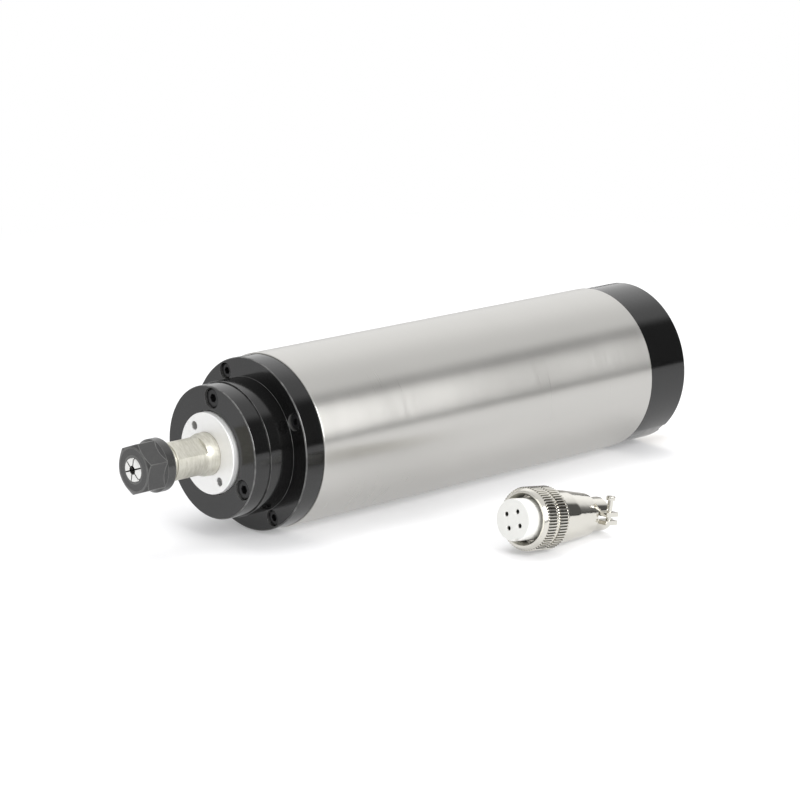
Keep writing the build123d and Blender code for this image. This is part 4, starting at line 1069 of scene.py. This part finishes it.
def soft_box(name, place, side, watts, mirrored=True):
    """A square lamp that faces the body's middle; unless mirrored it shows in no reflection."""
    lamp = bpy.data.lights.new(name, "AREA")
    lamp.shape, lamp.size, lamp.size_y, lamp.energy = "RECTANGLE", side, side, watts
    light = bpy.data.objects.new(name, lamp)
    light.location = place
    light.visible_glossy = mirrored
    aim = -np.array(place)
    pitch = math.acos(-aim[2] / np.linalg.norm(aim))
    light.rotation_euler = (pitch, 0, math.atan2(aim[1], aim[0]) - math.pi / 2)
    bpy.context.scene.collection.objects.link(light)


class SPINDLE_OT_stage(bpy.types.Operator):
    """Floor, backdrop, soft boxes and camera."""
    bl_idname = "spindle.stage"
    bl_label = "Stage"

    def execute(self, context):
        s = context.scene.spindle_stage
        low, half = CAD_BOX[0][2], s.floor_size / 2
        corners = [(-half, -half, low), (half, -half, low), (half, half, low), (-half, half, low)]
        mesh = bpy.data.meshes.new("floor")
        mesh.from_pydata(corners, [], [(0, 1, 2, 3)])
        floor = bpy.data.objects.new("floor", mesh)
        context.scene.collection.objects.link(floor)
        mesh.materials.append(self.floor_finish(s))
        self.backdrop(context, s)
        soft_box("top_box", **TOP_BOX, watts=s.top_power, mirrored=False)
        soft_box("side_box", **SIDE_BOX, watts=s.side_power)
        camera = bpy.data.objects.new("camera", bpy.data.cameras.new("camera"))
        camera.data.lens = s.lens
        camera.data.sensor_width = 36.0
        camera.location = CAMERA_PLACE
        camera.rotation_euler = [math.radians(angle) for angle in CAMERA_TURN]
        context.scene.collection.objects.link(camera)
        context.scene.camera = camera
        context.scene.view_settings.view_transform = "Standard"
        return {"FINISHED"}

    def floor_finish(self, s):
        """Pale floor; away from the object the camera and reflections see it as plain white."""
        shader = Shader(bpy.data.materials.new("floor"))
        point = shader.node("TexCoord", output="Object")
        distance = (shader.split(point, 0) ** 2 + shader.split(point, 1) ** 2) ** 0.5
        away = distance.step(s.floor_near, s.floor_far)
        surface = shader.node("BsdfPrincipled", None, {
            "Base Color": colour(*s.floor_colour), "Roughness": 0.8, "Specular IOR Level": 0.2})
        camera, glossy, clear = (shader.node("LightPath", output=name) for name in (
            "Is Camera Ray", "Is Glossy Ray", "Is Transmission Ray"))
        mirrored = glossy.maximum(clear)
        near = camera * s.floor_veil + mirrored * s.mirror_veil
        level = camera * s.floor_glow + mirrored * s.mirror_glow
        glow = shader.node("Emission", None, {"Color": level + (1.0 - level) * away})
        mixed = shader.node("MixShader", None, {
            0: near + (camera + mirrored - near) * away, 1: surface, 2: glow})
        shader.node("OutputMaterial", None, {"Surface": mixed})
        return shader.owner

    def backdrop(self, context, s):
        """White to the camera; to the object a bright room with one dark opening on its right."""
        world = bpy.data.worlds.new("backdrop")
        context.scene.world = world
        shader = Shader(world)
        direction = shader.node("TexCoord", output="Generated")

        def towards(heading, height, low, high):
            """1 inside a cone of directions round a heading and height in degrees, 0 outside."""
            a, e = math.radians(heading), math.radians(height)
            axis = (math.cos(a) * math.cos(e), math.sin(a) * math.cos(e), math.sin(e))
            along = shader.node("VectorMath", {"operation": "DOT_PRODUCT"}, {0: direction, 1: axis},
                                output="Value")
            return along.step(low, high)

        dark = towards(*s.dark_side, 0.85, 0.93)
        level = s.room + towards(*s.backdrop_side, 0.6, 0.9) * (s.backdrop - s.room)
        level = level * (1.0 - dark * (1.0 - s.dark_level))
        level = level * shader.split(direction, 2).step(-0.01, 0.08)        # dark below the floor
        seen = shader.node("LightPath", output="Is Camera Ray")
        strength = level + seen * (1.0 - level)
        light = shader.node("Background", None, {"Color": colour(1, 1, 1), "Strength": strength})
        shader.node("OutputWorld", None, {"Surface": light})


GROUPS = {"spindle_body": SPINDLE_PG_body, "spindle_nose": SPINDLE_PG_nose,
          "spindle_plug": SPINDLE_PG_plug, "spindle_stage": SPINDLE_PG_stage}
STEPS = (SPINDLE_OT_inside, SPINDLE_OT_tube, SPINDLE_OT_front, SPINDLE_OT_cap, SPINDLE_OT_screws,
         SPINDLE_OT_disc, SPINDLE_OT_nose, SPINDLE_OT_nut, SPINDLE_OT_rear, SPINDLE_OT_ring,
         SPINDLE_OT_plug, SPINDLE_OT_stage)


class SPINDLE_PT_panel(bpy.types.Panel):
    """Lists the pieces and their settings in the sidebar."""
    bl_idname = "SPINDLE_PT_panel"
    bl_label = "Milling spindle"
    bl_space_type = "VIEW_3D"
    bl_region_type = "UI"
    bl_category = "Spindle"

    def draw(self, context):
        for name, group in GROUPS.items():
            box = self.layout.box()
            for key in group.__annotations__:
                box.prop(getattr(context.scene, name), key)
        for step in STEPS:
            self.layout.operator(step.bl_idname)


def register():
    """Make the settings, operators and panel known."""
    for group in (*GROUPS.values(), *STEPS, SPINDLE_PT_panel):
        bpy.utils.register_class(group)
    for name, group in GROUPS.items():
        setattr(bpy.types.Scene, name, PointerProperty(type=group))


def unregister():
    """Take them away again."""
    for name in GROUPS:
        delattr(bpy.types.Scene, name)
    for group in reversed((*GROUPS.values(), *STEPS, SPINDLE_PT_panel)):
        bpy.utils.unregister_class(group)


def main():
    """Build every piece and the stage."""
    register()
    for step in STEPS:
        getattr(bpy.ops.spindle, step.bl_idname.split(".")[1])()


if __name__ == "__main__":
    main()
